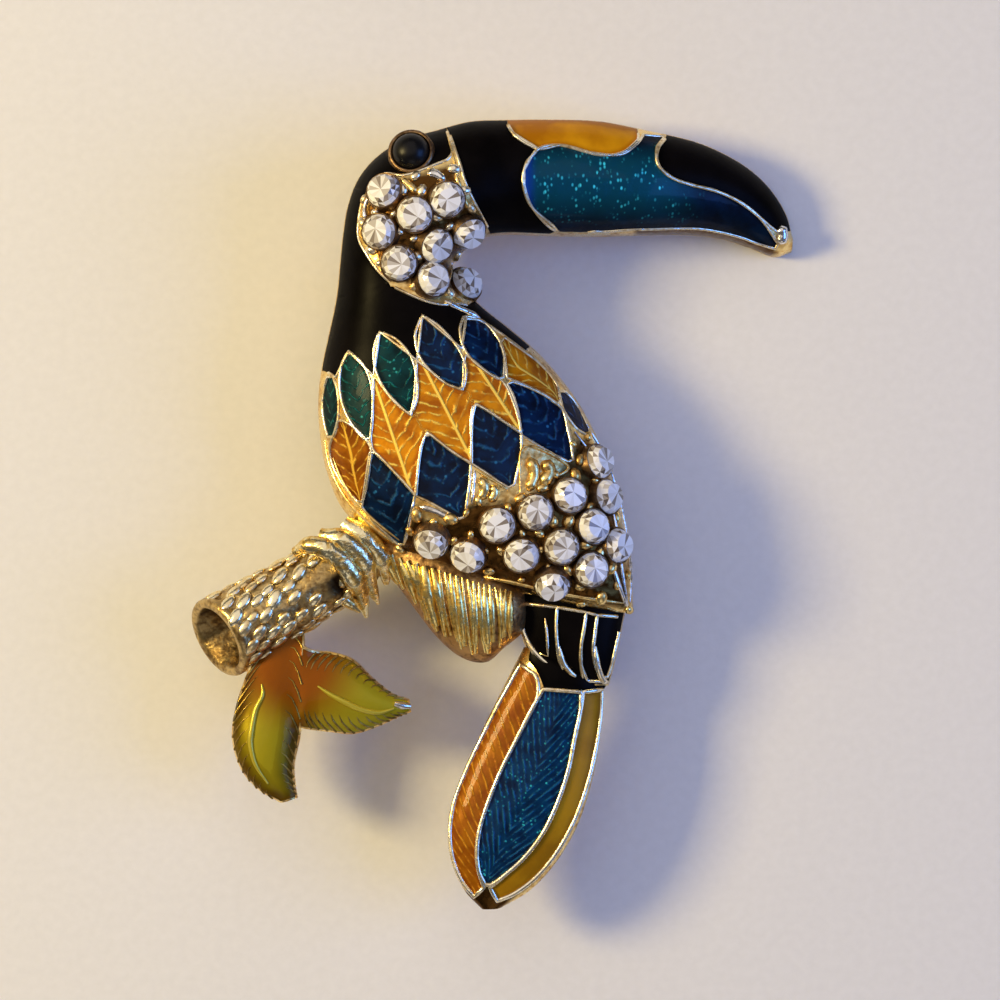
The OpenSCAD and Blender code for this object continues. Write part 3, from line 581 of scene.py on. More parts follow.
# The tail, the strips that cover its root, the belly tuft and the two leaves: the rest of the
# same casting, each a swelling form of its own, soldered into one with the bird.
# Where a table has one share to a row, that is the share of BODY_RISE.
TAIL_ROWS = [
    [524, 648, 604, 655, 0.32],
    [500, 695, 603, 700, 0.32],
    [478, 740, 599, 750, 0.31],
    [459, 785, 589, 795, 0.30],
    [448, 830, 575, 833, 0.27],
    [452, 866, 554, 867, 0.23],
    [465, 893, 529, 893, 0.17],
    [482, 911, 500, 910, 0.08],
]
COVERT_ROWS = [
    [514, 592, 629, 596, 0.36],
    [518, 620, 624, 620, 0.36],
    [526, 648, 619, 646, 0.33],
    [543, 670, 614, 668, 0.26],
    [576, 685, 609, 686, 0.14],
]
TUFT_ROWS = [
    [362, 543, 424, 535, 1.0, 0.6, 1.6, 0.36],
    [388, 574, 450, 548, 1.0, 0.6, 1.8, 0.44],
    [412, 606, 478, 560, 1.0, 0.6, 1.9, 0.50],
    [436, 637, 503, 572, 1.0, 0.6, 1.9, 0.52],
    [461, 658, 522, 584, 1.0, 0.6, 1.8, 0.50],
    [486, 663, 527, 602, 1.0, 0.6, 1.6, 0.42],
    [506, 647, 529, 628, 1.0, 0.6, 1.2, 0.20],
]
LEAF_DOWN_ROWS = [
    [258, 645, 303, 622, 0.22],
    [246, 676, 304, 643, 0.26],
    [236, 706, 303, 690, 0.30],
    [231, 738, 300, 735, 0.30],
    [240, 770, 294, 766, 0.26],
    [258, 791, 295, 787, 0.18],
    [280, 804, 297, 799, 0.10],
]
LEAF_SIDE_ROWS = [
    [301, 646, 299, 728, 0.26],
    [314, 651, 309, 730, 0.29],
    [333, 653, 330, 733, 0.30],
    [353, 660, 354, 735, 0.27],
    [372, 678, 379, 727, 0.22],
    [392, 694, 398, 718, 0.15],
    [409, 700, 411, 713, 0.08],
]
TAIL_ROOT = [[530, 651], [546, 656], [564, 664], [600, 680], [607, 686], [604, 691], [582, 690],
             [544, 689], [541, 680], [535, 668], [529, 661]]
# The tail's end is darkened to a brown tone.
TAIL_END = [[463, 878], [482, 884], [512, 882], [524, 890], [504, 914], [480, 918], [462, 900]]
TAIL = ["tail_amber", "tail_blue", "tail_ochre"]
COVERTS = [f"covert_{i}" for i in range(1, 5)]
tail, coverts = Form(TAIL_ROWS, (1.0, 0.9, 0.9)), Form(COVERT_ROWS, (1.0, 1.3, 1.2))
tuft = Form(TUFT_ROWS)
leaf_down, leaf_side = (Form(rows, (1.0, 1.0, 1.0)) for rows in (LEAF_DOWN_ROWS, LEAF_SIDE_ROWS))
tail_edge, covert_edge = edge_of(tail), edge_of(coverts)
for name in TAIL + COVERTS:
    cells[name] = grown(name)
cells["tail_root"] = spaced(outline(TAIL_ROOT), EDGE_STEP)
cells["strips"] = inset(covert_edge, RIM_LEFT)
dark_gold = metal_finish("darkened plate", (0.55, 0.33, 0.13), (0.22, 0.12, 0.05),
                         (0.05, 0.025, 0.01), 0.4, 0.9)
casting("tail_casting", tail, [tail_edge], [cells[n] for n in TAIL + ["tail_root"]], gold,
        fields=[TAIL_END])
casting("covert_casting", coverts, [covert_edge], [cells["strips"]], gold)
casting("tuft_casting", tuft, [edge_of(tuft)], [], dark_gold, texture=0.12)

LEAF_FOOT, LEAF_FORK = (300, 655), (304, 712)
BRIDGE_H, BRIDGE_W, MELT, LEAF_RIM = 1.5, 2.0, 0.16, 0.14


class Grown:
    """Two swelling forms grown together, with a low bridge between them where they fork."""

    def __init__(self, *forms):
        self.forms = forms

    def levels(self, p):
        a, b = place(*LEAF_FOOT), place(*LEAF_FORK)
        share = min(1, max(0, (p - a) @ (b - a) / ((b - a) @ (b - a))))
        off = np.linalg.norm(p - a - (b - a) * share)
        tops = [form.top(p) for form in self.forms]
        tops.append(RIM_Z + EDGE_T + BRIDGE_H * math.exp(-(off / BRIDGE_W) ** 2))
        return RIM_Z, MELT * math.log(sum(math.exp((top - RIM_Z) / MELT) for top in tops)) + RIM_Z

    def top(self, p):
        return self.levels(p)[1]


leaves = Grown(leaf_down, leaf_side)
leaf_edges = [edge_of(leaf_down), edge_of(leaf_side)]
leaf_join = spaced(outline([[292, 655], [312, 656], [311, 724], [291, 722]]), EDGE_STEP)
leaf_loops = [inset(edge, LEAF_RIM) for edge in leaf_edges] + [leaf_join]
casting("leaf_casting", leaves, leaf_edges, leaf_loops, gold)

# The cell walls: raised wires of the casting that stand round each field of enamel, ground
# bright on their backs. Each follows its cell over the swelling metal.
WIRE_SUNK, SEAM, WIRE_CLEAR, TAIL_CLEAR, COVERT_CLEAR, LEAST_RUN = 0.03, 0.1, 0.25, 0.02, 0.2, 4
LINE_STEPS = 6


def tree_of(name, inputs):
    """An empty node tree with named inputs. inputs: name, kind of socket, value."""
    made = bpy.data.node_groups.new(name, "GeometryNodeTree")
    made.interface.new_socket("Geometry", in_out="INPUT", socket_type="NodeSocketGeometry")
    for label, kind, value in inputs:
        socket = made.interface.new_socket(label, in_out="INPUT", socket_type="NodeSocket" + kind)
        if value is not None:
            socket.default_value = value
    made.interface.new_socket("Geometry", in_out="OUTPUT", socket_type="NodeSocketGeometry")
    return made, made.nodes.new("NodeGroupInput"), made.nodes.new("NodeGroupOutput")


def ended(tree, given, out, last):
    """The end of a node tree: real meshes with the given finish."""
    real = step(tree, "GeometryNodeRealizeInstances", {0: last.outputs[0]})
    done = step(tree, "GeometryNodeSetMaterial", {
        0: real.outputs[0], "Material": given.outputs["Material"]})
    tree.links.new(done.outputs[0], out.inputs[0])
    return tree


def swept_tree():
    """Sweeps a round bar along each line, as thick as the line says at each point."""
    tree, given, out = tree_of("swept bar", [
        ("Thickness", "Float", 0.00014), ("Unevenness", "Float", 0.1), ("Sides", "Int", 8),
        ("Seed", "Float", 1.0), ("Material", "Material", None)])
    lines = step(tree, "GeometryNodeMeshToCurve", {0: given.outputs[0]})
    thick = step(tree, "GeometryNodeInputNamedAttribute", {"Name": "thick"}, data_type="FLOAT")
    where = step(tree, "GeometryNodeInputPosition")
    waver = step(tree, "ShaderNodeTexNoise", {"Vector": where.outputs[0], "Scale": 900.0,
                                              "W": given.outputs["Seed"]}, noise_dimensions="4D")
    centred = step(tree, "ShaderNodeMath", {0: waver.outputs[0], 1: 0.5}, operation="SUBTRACT")
    spread = step(tree, "ShaderNodeMath", {0: centred.outputs[0], 1: given.outputs["Unevenness"]},
                  operation="MULTIPLY")
    more = step(tree, "ShaderNodeMath", {0: spread.outputs[0], 1: 1.0}, operation="ADD")
    size = step(tree, "ShaderNodeMath", {0: thick.outputs[0], 1: more.outputs[0]},
                operation="MULTIPLY")
    ring = step(tree, "GeometryNodeCurvePrimitiveCircle",
                {"Resolution": given.outputs["Sides"], "Radius": given.outputs["Thickness"]})
    bar = step(tree, "GeometryNodeCurveToMesh", {
        "Curve": lines.outputs[0], "Profile Curve": ring.outputs[0], "Scale": size.outputs[0],
        "Fill Caps": True})
    smooth = step(tree, "GeometryNodeSetShadeSmooth", {0: bar.outputs[0]})
    return ended(tree, given, out, smooth)


def made_plain(source, name, tree, values):
    """Runs a node tree on an object and keeps the result as a plain mesh that rides the brooch."""
    source.name = name + "_drawn"
    modifier = source.modifiers.new("made", "NODES")
    modifier.node_group = tree
    for item in tree.interface.items_tree:
        if item.item_type == "SOCKET" and item.in_out == "INPUT" and item.name in values:
            modifier[item.identifier] = values[item.name]
    ready = source.evaluated_get(bpy.context.evaluated_depsgraph_get())
    made = linked(name, bpy.data.meshes.new_from_object(ready))
    bpy.data.objects.remove(source)
    made.data.name = name
    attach(made, "root")
    return made


bars = swept_tree()


def swept(name, lines, thickness, material, sides=8, unevenness=0.25,
          seed=1.0):
    """Bars along lines. A line: its points, its shares of the thickness, and is it closed."""
    verts, edges, shares = [], [], []
    for points, thick, closed in lines:
        first = len(verts)
        verts += [tuple(np.array(p) * 0.001) for p in points]
        shares += list(np.broadcast_to(thick, len(points)))
        edges += [(first + i, first + i + 1) for i in range(len(points) - 1)]
        if closed:
            edges.append((first + len(points) - 1, first))
    mesh = bpy.data.meshes.new(name)
    mesh.from_pydata(verts, edges, [])
    mark(mesh, "thick", shares)
    return made_plain(linked(name, mesh), name, bars, {
        "Thickness": thickness * 0.001, "Unevenness": unevenness, "Sides": sides, "Seed": seed,
        "Material": material})


def on_top(form, loop, lift):
    """The line over a form's face, in space."""
    return [(*p, form.top(p) + lift) for p in loop]


def runs_of(points, keep):
    """The stretches of a line that are kept, but for the shortest."""
    runs = [[]]
    for p, ok in zip(points, keep):
        if ok:
            runs[-1].append(p)
        elif runs[-1]:
            runs.append([])
    return [run for run in runs if len(run) > LEAST_RUN]


def walls(form, loop, rim, clear):
    """The wire round a cell, left out where the enamel runs to the casting's rim."""
    keep = distance_to(rim, loop) > clear
    if keep.all():
        return [(on_top(form, loop, -WIRE_SUNK), 1.0, True)]
    start = next(i for i in range(len(loop)) if keep[i] and not keep[i - 1])
    return [(on_top(form, run, -WIRE_SUNK), 1.0, False)
            for run in runs_of(np.roll(loop, -start, axis=0), np.roll(keep, -start))]


def drawn_line(form, share, drawn, lift=0.0, taper=0.2, end=0.4):
    """A line over a form through drawn places, thinner towards its ends."""
    rows = drawn_through(np.array(drawn, float), LINE_STEPS)
    thick = np.interp(np.linspace(0, 1, len(rows)), [0, taper, 1 - taper, 1], [end, 1, 1, end])
    return on_top(form, place(rows[:, 0], rows[:, 1]), lift), share * thick, False


pale_gold = metal_finish("worn plate", (1.0, 0.92, 0.70), (0.80, 0.62, 0.34), (0.28, 0.16, 0.05),
                         0.22)
wires = [line for n in BILL + FEATHERS for line in walls(bird, cells[n], bird_edge, WIRE_CLEAR)]
# The black fields of the head run into one another: no wire where one lies over its neighbour.
for name in ("nape", "yoke", "crown"):
    seams = [inset(cells[other], -SEAM) for other in ("neck", "crown", "nape") if other != name]
    for points, _, closed in walls(bird, cells[name], bird_edge, WIRE_CLEAR):
        joined = np.any([inside(seam, np.array(points)[:, :2]) for seam in seams], axis=0)
        wires += [(run, 1.0, closed and len(run) == len(points))
                  for run in runs_of(points, ~joined)]
swept("bird_wires", wires, WIRE_W / 2 * 0.9, pale_gold, unevenness=0.3)
wires = [(run, 1.25, closed) for n in TAIL
         for run, _, closed in walls(tail, cells[n], tail_edge, TAIL_CLEAR)]
wires += [line for n in COVERTS for line in walls(coverts, cells[n], covert_edge, COVERT_CLEAR)]
wires += [drawn_line(coverts, 0.8, [[545, 618], [547, 636], [548, 656]]),
          drawn_line(coverts, 1.5, [[559, 646], [563, 662], [571, 673], [581, 680]]),
          drawn_line(coverts, 1.7, [[595, 646], [597, 664], [602, 679], [608, 683]]),
          drawn_line(coverts, 1.3, [[517, 604], [521, 624], [530, 645], [543, 660], [556, 667]])]
swept("tail_wires", wires, WIRE_W / 2 * 1.1, pale_gold, unevenness=0.3)

# The enamels: glass enamel filled into the cells over a chased floor and fired. The cuts of the
# floor shine through it as veins and barbs, with glints painted in as bright flecks; its skin is
# smooth and climbs at the wires.
GLASS_STEP, GLASS_RINGS, CLIMB_H, CLIMB_W, FEATHER_W = 0.34, (0.06, 0.16, 0.32), 0.07, 0.1, 3.4
GLASS_CLEAR, GLASS_FLOOR, GLASS_SHARP, RUN_MARKS, RUN_PARTS = 0.02, 0.15, 60, 40, 30


def run_of(loop):
    """A rule for how far down a cell a place lies, in millimetres, and how far across it."""
    middle = loop.mean(0)
    _, ways = np.linalg.eigh(np.cov((loop - middle).T))
    down = ways[:, 1] * (-1 if ways[1, 1] > 0 else 1)
    aside = np.array([-down[1], down[0]])
    u, w = (loop - middle) @ down, (loop - middle) @ aside
    marks = np.linspace(u.min(), u.max(), RUN_MARKS)
    near = [w[np.abs(u - m) < (u.max() - u.min()) / RUN_PARTS + 0.1] for m in marks]
    low, high = [x.min() for x in near], [x.max() for x in near]

    def rule(p):
        along, cross = (p - middle) @ down, (p - middle) @ aside
        a, b = np.interp(along, marks, low), np.interp(along, marks, high)
        return along, (cross - a) / max(b - a, 0.1)
    return rule


def feathers_of(spines):
    """The same rule for a wide cell that holds feathers side by side, each with its spine."""
    ends = [(place(*a), place(*b)) for a, b in spines]

    def rule(p):
        spots = []
        for a, b in ends:
            down = (b - a) / np.linalg.norm(b - a)
            spots.append(((p - a) @ down, (p - a) @ np.array([-down[1], down[0]])))
        along, cross = min(spots, key=lambda spot: abs(spot[1]))
        return along, 0.5 + cross / FEATHER_W
    return rule


def enamel(name, form, loops, material, nodes, sink=ENAMEL_SINK, spines=None):
    """Enamel in a cell, or in cells that run together."""
    loops = [inset(loop, GLASS_CLEAR) for loop in loops]
    points, tris = net(loops, GLASS_STEP, GLASS_RINGS, len(loops))
    far = distance_to(loops[0], points)
    for loop in loops[1:]:
        deep = distance_to(loop, points)
        far = np.where(inside(loop, points), np.maximum(deep, far), far)
    levels = [form.levels(p) for p in points]

    def front_z(_, i):
        return levels[i][1] - sink + CLIMB_H * math.exp(-far[i] / CLIMB_W)

    def rear_z(_, i):
        return max(levels[i][1] - ENAMEL_SINK - ENAMEL_T, levels[i][0] + GLASS_FLOOR)

    same = [""] * len(tris)
    verts, faces, sources = block(points, [t for t, _ in tris], same, same, front_z, rear_z)
    made = piece_of(name, verts, faces, material, GLASS_SHARP)
    mark(made.data, "edge", [far[i] for _, i in sources])
    rule = feathers_of(spines) if spines else run_of(loops[0])
    at = [rule(np.array(v[:2]) * 1000) for v in verts]
    uv = made.data.uv_layers.new(name="UVMap")
    uv.data.foreach_set("uv", [x for loop in made.data.loops for x in at[loop.vertex_index]])
    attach(made, "root")
    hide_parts(*nodes)


def fill(names, form, filling, spines=()):
    """The same enamel in some cells, one piece to a cell."""
    for name in names:
        enamel(name + "_enamel", form, [cells[name]], filling, [name],
               spines=dict(spines).get(name))


def glaze(name, deep, mid, light=None, shine=0.0, ribs=0.0, slant=0.0, mirrored=True, spine=0.0,
          thin=0.16, flecks=0.0, fleck=None, clouds=700.0, under=0.06, astray=1.4,
          coat=(0.12, 0.05)):
    """Enamel over a chased floor: its finish and its colour.

    deep, mid, light: beside the wires, in the open, and over a cut. ribs: cuts to the millimetre.
    slant: how far they lean, from the spine if mirrored. thin: their width. astray: their waver.
    flecks: how fine the painted glints are, with fleck their colour. coat: the skin's weight and
    roughness.
    """
    made = finish_of(name, base_color=(*mid, 1), metallic=shine, roughness=0.38,
                     coat_weight=coat[0], coat_roughness=coat[1], specular_ior_level=under)
    cloud = clouds_on(made, clouds, 4.0)
    pooled = reckon(made, "ADD", cloud, reach(made, written(made, "edge"), 0.0, 0.5, -0.25, 0.0))
    colour, height = ramp(made, pooled, [(0.36, deep), (0.62, mid)]), cloud
    if ribs:
        spot = add_node(made, "SeparateXYZ", {0: add_node(made, "TexCoord").outputs["UV"]})
        centred = reckon(made, "SUBTRACT", spot.outputs[1], 0.5)
        side = reckon(made, "ABSOLUTE", centred)
        leaning = reckon(made, "MULTIPLY", side if mirrored else centred, slant)
        along = reckon(made, "MULTIPLY", spot.outputs[0], ribs)
        wander = reckon(made, "MULTIPLY", cloud, astray)
        phase = reckon(made, "ADD", reckon(made, "ADD", along, leaning), wander)
        cut = reach(made, reckon(made, "PINGPONG", phase, 0.5), thin, 0.0)
        uneven = reach(made, clouds_on(made, 1500.0), 0.40, 0.62, 0.1, 1.0)
        cut = reckon(made, "MULTIPLY", cut, uneven)
        if spine:
            cut = reckon(made, "MAXIMUM", cut, reach(made, side, spine, spine * 0.3))
        colour = blend(made, cut, colour, light)
        height = reckon(made, "ADD", cut, reckon(made, "MULTIPLY", cloud, 0.5))
    # Painted glints: bright flecks of colour over the enamel.
    if flecks:
        glint = add_node(made, "TexVoronoi", {"Vector": spot_on(made), "Scale": flecks})
        bright = reckon(made, "MULTIPLY", reach(made, glint.outputs["Distance"], 0.28, 0.1),
                        reach(made, cloud, 0.46, 0.6))
        colour = blend(made, bright, colour, fleck)
    join_to_shader(made, "Base Color", colour)
    roughen(made, height, 0.6, 0.00015)
    return made, colour


jet, _ = glaze("black enamel", (0.0015, 0.001, 0.001), (0.004, 0.003, 0.003), clouds=300.0,
               under=0.02, coat=(0.02, 0.3))
enamel("nape_and_yoke_enamel", bird, [cells[n] for n in ("nape", "yoke", "neck", "crown")], jet,
       ["nape", "yoke"])
fill(["bill_base", "bill_tip"], bird, jet)
# The four black strips are one fill, with their wires laid over it.
enamel("covert_enamel", coverts, [cells["strips"]], jet, COVERTS)
# A black fill at the tail's root, below the strips: partly black enamel, partly their shadow
# painted black.
enamel("tail_root_enamel", tail, [cells["tail_root"]], jet, ["covert_2"], 0.0)

saddle, _ = glaze("saddle enamel", (0.46, 0.16, 0.001), (0.74, 0.33, 0.004), clouds=250.0)
fill(["bill_saddle"], bird, saddle)
CHASED = {"shine": 0.12, "ribs": 1.1, "slant": 3.2, "spine": 0.05, "thin": 0.2}
# The first amber feather, on the bird's left flank, takes a darker copy of the amber: painted
# shade.
shaded_amber, _ = glaze("shaded amber", (0.16, 0.04, 0.001), (0.32, 0.10, 0.002), (0.8, 0.46, 0.05),
                 **CHASED)
veined, _ = glaze("veined amber", (0.36, 0.10, 0.001), (0.66, 0.25, 0.003), (1.0, 0.70, 0.12),
                  **CHASED)
SPINES = {"amber_2": [[(372, 372), (408, 478)], [(422, 362), (468, 452)], [(468, 352), (514, 422)]]}
fill(FEATHERS[5:6], bird, shaded_amber)
fill(FEATHERS[6:8], bird, veined, SPINES)
stroked, _ = glaze("stroked amber", (0.20, 0.05, 0.001), (0.30, 0.10, 0.002), (0.62, 0.26, 0.015),
                   0.12, ribs=1.1, slant=-3.4, mirrored=False, thin=0.24, astray=0.5)
fill(["tail_amber"], tail, stroked)
ochre, _ = glaze("ochre enamel", (0.28, 0.13, 0.003), (0.46, 0.24, 0.006), clouds=250.0,
                 coat=(0.05, 0.25))
fill(["tail_ochre"], tail, ochre)
teal, _ = glaze("teal enamel", (0.001, 0.012, 0.016), (0.002, 0.036, 0.044), (0.012, 0.15, 0.15),
                0.08, ribs=1.0, slant=2.4, thin=0.14, flecks=2200.0, fleck=(0.03, 0.3, 0.3),
                coat=(0.03, 0.05))
navy, _ = glaze("blue enamel", (0.001, 0.004, 0.016), (0.001, 0.014, 0.06), (0.01, 0.07, 0.19),
                0.1, ribs=0.8, slant=2.6, thin=0.2, flecks=1800.0, fleck=(0.02, 0.14, 0.34))
fill(FEATHERS[:3], bird, teal)
fill(FEATHERS[3:5], bird, navy)
fill(FEATHERS[8:], bird, navy)
barbed, _ = glaze("barbed blue", (0.001, 0.010, 0.04), (0.001, 0.035, 0.11),
                  (0.006, 0.10, 0.24), 0.15, ribs=1.0, slant=9.0, thin=0.3, flecks=2600.0,
                  fleck=(0.03, 0.45, 0.55), astray=0.7)
fill(["tail_blue"], tail, barbed)

# The bill's side is filled with glitter: navy below, a teal band along it full of bright flecks.
# The band's bounds are in metres, along the bill and across it.
glitter, plain = glaze("glitter enamel", (0.001, 0.004, 0.012), (0.001, 0.010, 0.03), shine=0.3)
spot = spot_on(glitter)
axes = add_node(glitter, "SeparateXYZ", {0: spot}).outputs
band = reckon(glitter, "MULTIPLY", reach(glitter, axes[1], 0.0215, 0.0242),
              reach(glitter, axes[1], 0.0285, 0.0262))
band = reckon(glitter, "MULTIPLY", band, reach(glitter, axes[0], 0.0165, 0.0125))
tinted = blend(glitter, reckon(glitter, "MULTIPLY", band, 0.8), plain, (0.002, 0.07, 0.11))
drawn_out = add_node(glitter, "VectorMath", {0: spot, 1: (1.0, 0.65, 1.0)}, operation="MULTIPLY")
cell = add_node(glitter, "TexVoronoi", {"Vector": drawn_out.outputs[0], "Scale": 3800.0,
                                        "Randomness": 1.0})
grain = reach(glitter, cell.outputs["Distance"], 0.5, 0.15)
clump = reach(glitter, clouds_on(glitter, 900.0, 3.0), 0.42, 0.58)
one = add_node(glitter, "SeparateColor", {0: cell.outputs["Color"]}).outputs[0]
lit = reckon(glitter, "MULTIPLY", reach(glitter, one, 0.35, 0.95), clump)
grain = reckon(glitter, "MULTIPLY", reckon(glitter, "MULTIPLY", grain, lit), band)
tinted = blend(glitter, grain, tinted, (0.06, 0.75, 0.85))
tinted = blend(glitter, reach(glitter, axes[0], 0.0034, 0.0027), tinted, (0.005, 0.05, 0.2))
join_to_shader(glitter, "Base Color", tinted)
fill(["bill_side"], bird, glitter)

# The stones: clear glass brilliants with mirror foil behind, each pressed into a cup of the
# casting and held by beads raised from the metal beside it.
STONE_D, TABLE_W, GIRDLE_T, PAVILION_H, TABLE_SIDES = 2.5, 1.4, 0.12, 0.8, 14


def mesh_of(name, verts, faces, smooth=False):
    """A loose object to set on points. Sizes are in millimetres."""
    mesh = bpy.data.meshes.new(name)
    mesh.from_pydata([tuple(c * 0.001 for c in v) for v in verts], [], faces)
    if smooth:
        mesh.shade_smooth()
    return linked(name, mesh)


def ring(count, radius, z, turn=0.0):
    return [(radius * math.cos((i + turn) * math.tau / count),
             radius * math.sin((i + turn) * math.tau / count), z) for i in range(count)]


def hull_of(name, points, smooth=False):
    """The closed skin over a cloud of points: a cut stone or a bead."""
    work = bmesh.new()
    for p in points:
        work.verts.new([c * 0.001 for c in p])
    bmesh.ops.convex_hull(work, input=work.verts)
    bmesh.ops.recalc_face_normals(work, faces=work.faces)
    mesh = bpy.data.meshes.new(name)
    work.to_mesh(mesh)
    work.free()
    if smooth:
        mesh.shade_smooth()
    return linked(name, mesh)


def skin(rows, count, order=(0, 1, 2, 3)):
    """The faces between rings of points. A ring at a pole is one point."""
    faces = []
    for a, b in zip(rows, rows[1:]):
        for i in range(count):
            k = (i + 1) % count
            four = [a[i % len(a)], b[i % len(b)], b[k % len(b)], a[k % len(a)]]
            face = list(dict.fromkeys(four[j] for j in order))
            if len(face) > 2:
                faces.append(face)
    return faces


def turned(name, profile, count, smooth=True, angle=40):
    """A closed ring or solid turned from a profile of radius and height, from the top outwards."""
    verts, rows = [], []
    for r, z in profile:
        points = ring(count, r, z) if r else [(0, 0, z)]
        rows.append([len(verts) + i for i in range(len(points))])
        verts += points
    if profile[0][0]:
        rows.append(rows[0])
    made = mesh_of(name, verts, skin(rows, count), smooth)
    if smooth:
        made.data.set_sharp_from_angle(angle=math.radians(angle))
    return made


def setting_tree():
    """Sets a piece on each point, its top to the point's way and its x to the point's grain."""
    tree, given, out = tree_of("set on points", [
        ("Piece", "Object", None), ("Smallest", "Float", 1.0), ("Largest", "Float", 1.0),
        ("Turn", "Float", 0.0), ("Seed", "Int", 1), ("Material", "Material", None)])
    way, grain = (step(tree, "GeometryNodeInputNamedAttribute", {"Name": label},
                       data_type="FLOAT_VECTOR") for label in ("way", "grain"))
    upright = step(tree, "FunctionNodeAlignRotationToVector", {"Vector": way.outputs[0]},
                   axis="Z")
    laid = step(tree, "FunctionNodeAlignRotationToVector", {
        "Rotation": upright.outputs[0], "Vector": grain.outputs[0]}, axis="X", pivot_axis="Z")
    spin = step(tree, "FunctionNodeRandomValue", {3: given.outputs["Turn"],
                                                  "Seed": given.outputs["Seed"]},
                data_type="FLOAT")
    turn = step(tree, "FunctionNodeAxisAngleToRotation", {"Axis": (0, 0, 1),
                                                          "Angle": spin.outputs[1]})
    rotation = step(tree, "FunctionNodeRotateRotation", {
        "Rotation": laid.outputs[0], "Rotate By": turn.outputs[0]}, rotation_space="LOCAL")
    scale = step(tree, "FunctionNodeRandomValue", {
        2: given.outputs["Smallest"], 3: given.outputs["Largest"],
        "Seed": given.outputs["Seed"]}, data_type="FLOAT")
    piece = step(tree, "GeometryNodeObjectInfo", {"Object": given.outputs["Piece"]})
    put = step(tree, "GeometryNodeInstanceOnPoints", {
        "Points": given.outputs[0], "Instance": piece.outputs["Geometry"],
        "Rotation": rotation.outputs[0], "Scale": scale.outputs[1]})
    return ended(tree, given, out, put)


settings = setting_tree()


def put_on(name, piece, spots, material, sizes=(1.0, 1.0), turn=0.0, seed=1):
    """Pieces on spots. A spot: its place in millimetres, the way it faces and its grain."""
    source = mesh_of(name, [spot[0] for spot in spots], [])
    for label, k in (("way", 1), ("grain", 2)):
        source.data.attributes.new(label, "FLOAT_VECTOR", "POINT").data.foreach_set(
            "vector", [c for spot in spots for c in spot[k]])
    return made_plain(source, name, settings, {
        "Piece": piece, "Smallest": sizes[0], "Largest": sizes[1], "Turn": turn, "Seed": seed,
        "Material": material})


side = Vector((1, 0.2, 0))
face_set = [(*girdle_of(n), side) for n in FACE]
wing_set = [(*girdle_of(n), side) for n in WING]


def cut_stone(seed, off):
    """A brilliant whose facets are painted in different brightness: painted reflections of the foil
    behind the glass.

    Its table is a shallow fan of facets about a peak that lies off its middle.
    """
    table_r, girdle_r = TABLE_W * 0.6, STONE_D / 2
    made = hull_of("cut stone", ring(TABLE_SIDES, table_r, CROWN_H * 0.95) + [(*off, CROWN_H)]
                   + ring(16, 1.1, CROWN_H * 0.5, 0.5) + ring(16, girdle_r, 0, 0.5)
                   + ring(16, girdle_r, -GIRDLE_T, 0.5)
                   + ring(8, 0.72, -0.56, 0.5) + [(0, 0, -GIRDLE_T - PAVILION_H)])
    chance = random.Random(seed)
    tones = [chance.choice((1.0, 1.0, 0.9, 0.75, 0.55, 0.3)) for _ in range(TABLE_SIDES)]
    glints = []
    for face in made.data.polygons:
        angle = math.atan2(face.center.y, face.center.x) % math.tau
        within = math.hypot(face.center.x, face.center.y) * 1000 < table_r
        edge = chance.choice((1.0, 1.0, 0.8, 0.6, 0.4, 0.15))
        tone = tones[int(angle / math.tau * TABLE_SIDES)] if within else edge
        glints.append(tone if face.normal.z > 0 else 1.0)
    mark(made.data, "glint", glints, "FACE")
    return made


cuts = [cut_stone(3, (0.2, 0.1)), cut_stone(12, (-0.15, 0.25)), cut_stone(8, (0.05, -0.2))]
glass = finish_of("cut glass", base_color=(0.97, 0.98, 1.0, 1), roughness=0.02, ior=1.55,
                  transmission_weight=0.08)
# The glass's colour is painted light: each facet's mark sets it from brown-black to white.
join_to_shader(glass, "Base Color", ramp(glass, written(glass, "glint"), [
    (0.1, (0.10, 0.07, 0.05)), (0.45, (0.42, 0.36, 0.29)), (0.75, (0.86, 0.84, 0.80)),
    (1.0, (1.0, 1.0, 1.0))]))
foil = turned("mirror foil", [(STONE_D / 2 + 0.05, -0.1), (0.82, -0.64), (0, -1.06), (0, -1.0),
                              (0.76, -0.6), (STONE_D / 2 + 0.01, -0.1)], 16, False)
silver = finish_of("foil", base_color=(1.0, 0.99, 0.97, 1), metallic=0.4, roughness=0.3)
cup = turned("stone cup", [(1.40, 0.0), (1.45, -0.2), (1.5, -0.8), (1.31, -0.75),
                           (1.33, -0.04)], 24)
# The cups are nearly black metal: painted shadow in the gap round each stone.
cup_shadow_metal = metal_finish("cup metal with painted shadow", (0.30, 0.19, 0.10), (0.12, 0.07, 0.035),
                          (0.03, 0.018, 0.01), 0.35)
for part, spots, names in (("face", face_set, FACE), ("wing", wing_set, WING)):
    for k, cut in enumerate(cuts):
        stones = put_on(f"{part}_stones_{k + 1}", cut, spots[k::3], glass,
                        (1.05, 1.05), math.tau, 4 + k)
        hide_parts(*names[k::3])
    put_on(part + "_foils", foil, spots, silver, turn=1.0)
    put_on(part + "_cups", cup, spots, cup_shadow_metal)
for piece in (*cuts, foil, cup):
    bpy.data.objects.remove(piece)

# Beads raised from the metal between the stones, and the nuggets that fill the fields they
# leave: bright gold and worn white metal over darkened hollows.
STONE_CLEAR, TRIES = 1.42, 4000


def pebble(name, long, wide, high, levels, count, foot=()):
    """A rounded nugget: half its length and its width, its height, and the levels it is cut at."""
    return hull_of(name, [(long * math.cos(a) * math.sqrt(1 - h * h),
                           wide * math.sin(a) * math.sqrt(1 - h * h), high * h)
                          for h in levels for a in np.arange(count) * math.tau / count]
                   + list(foot), True)


bead = pebble("bead", 0.5, 0.36, 0.32, (-0.3, 0, 0.4, 0.75, 1.0), 10)
stone_at = np.array([spot[0][:2] for spot in face_set + wing_set])
chance = random.Random(5)


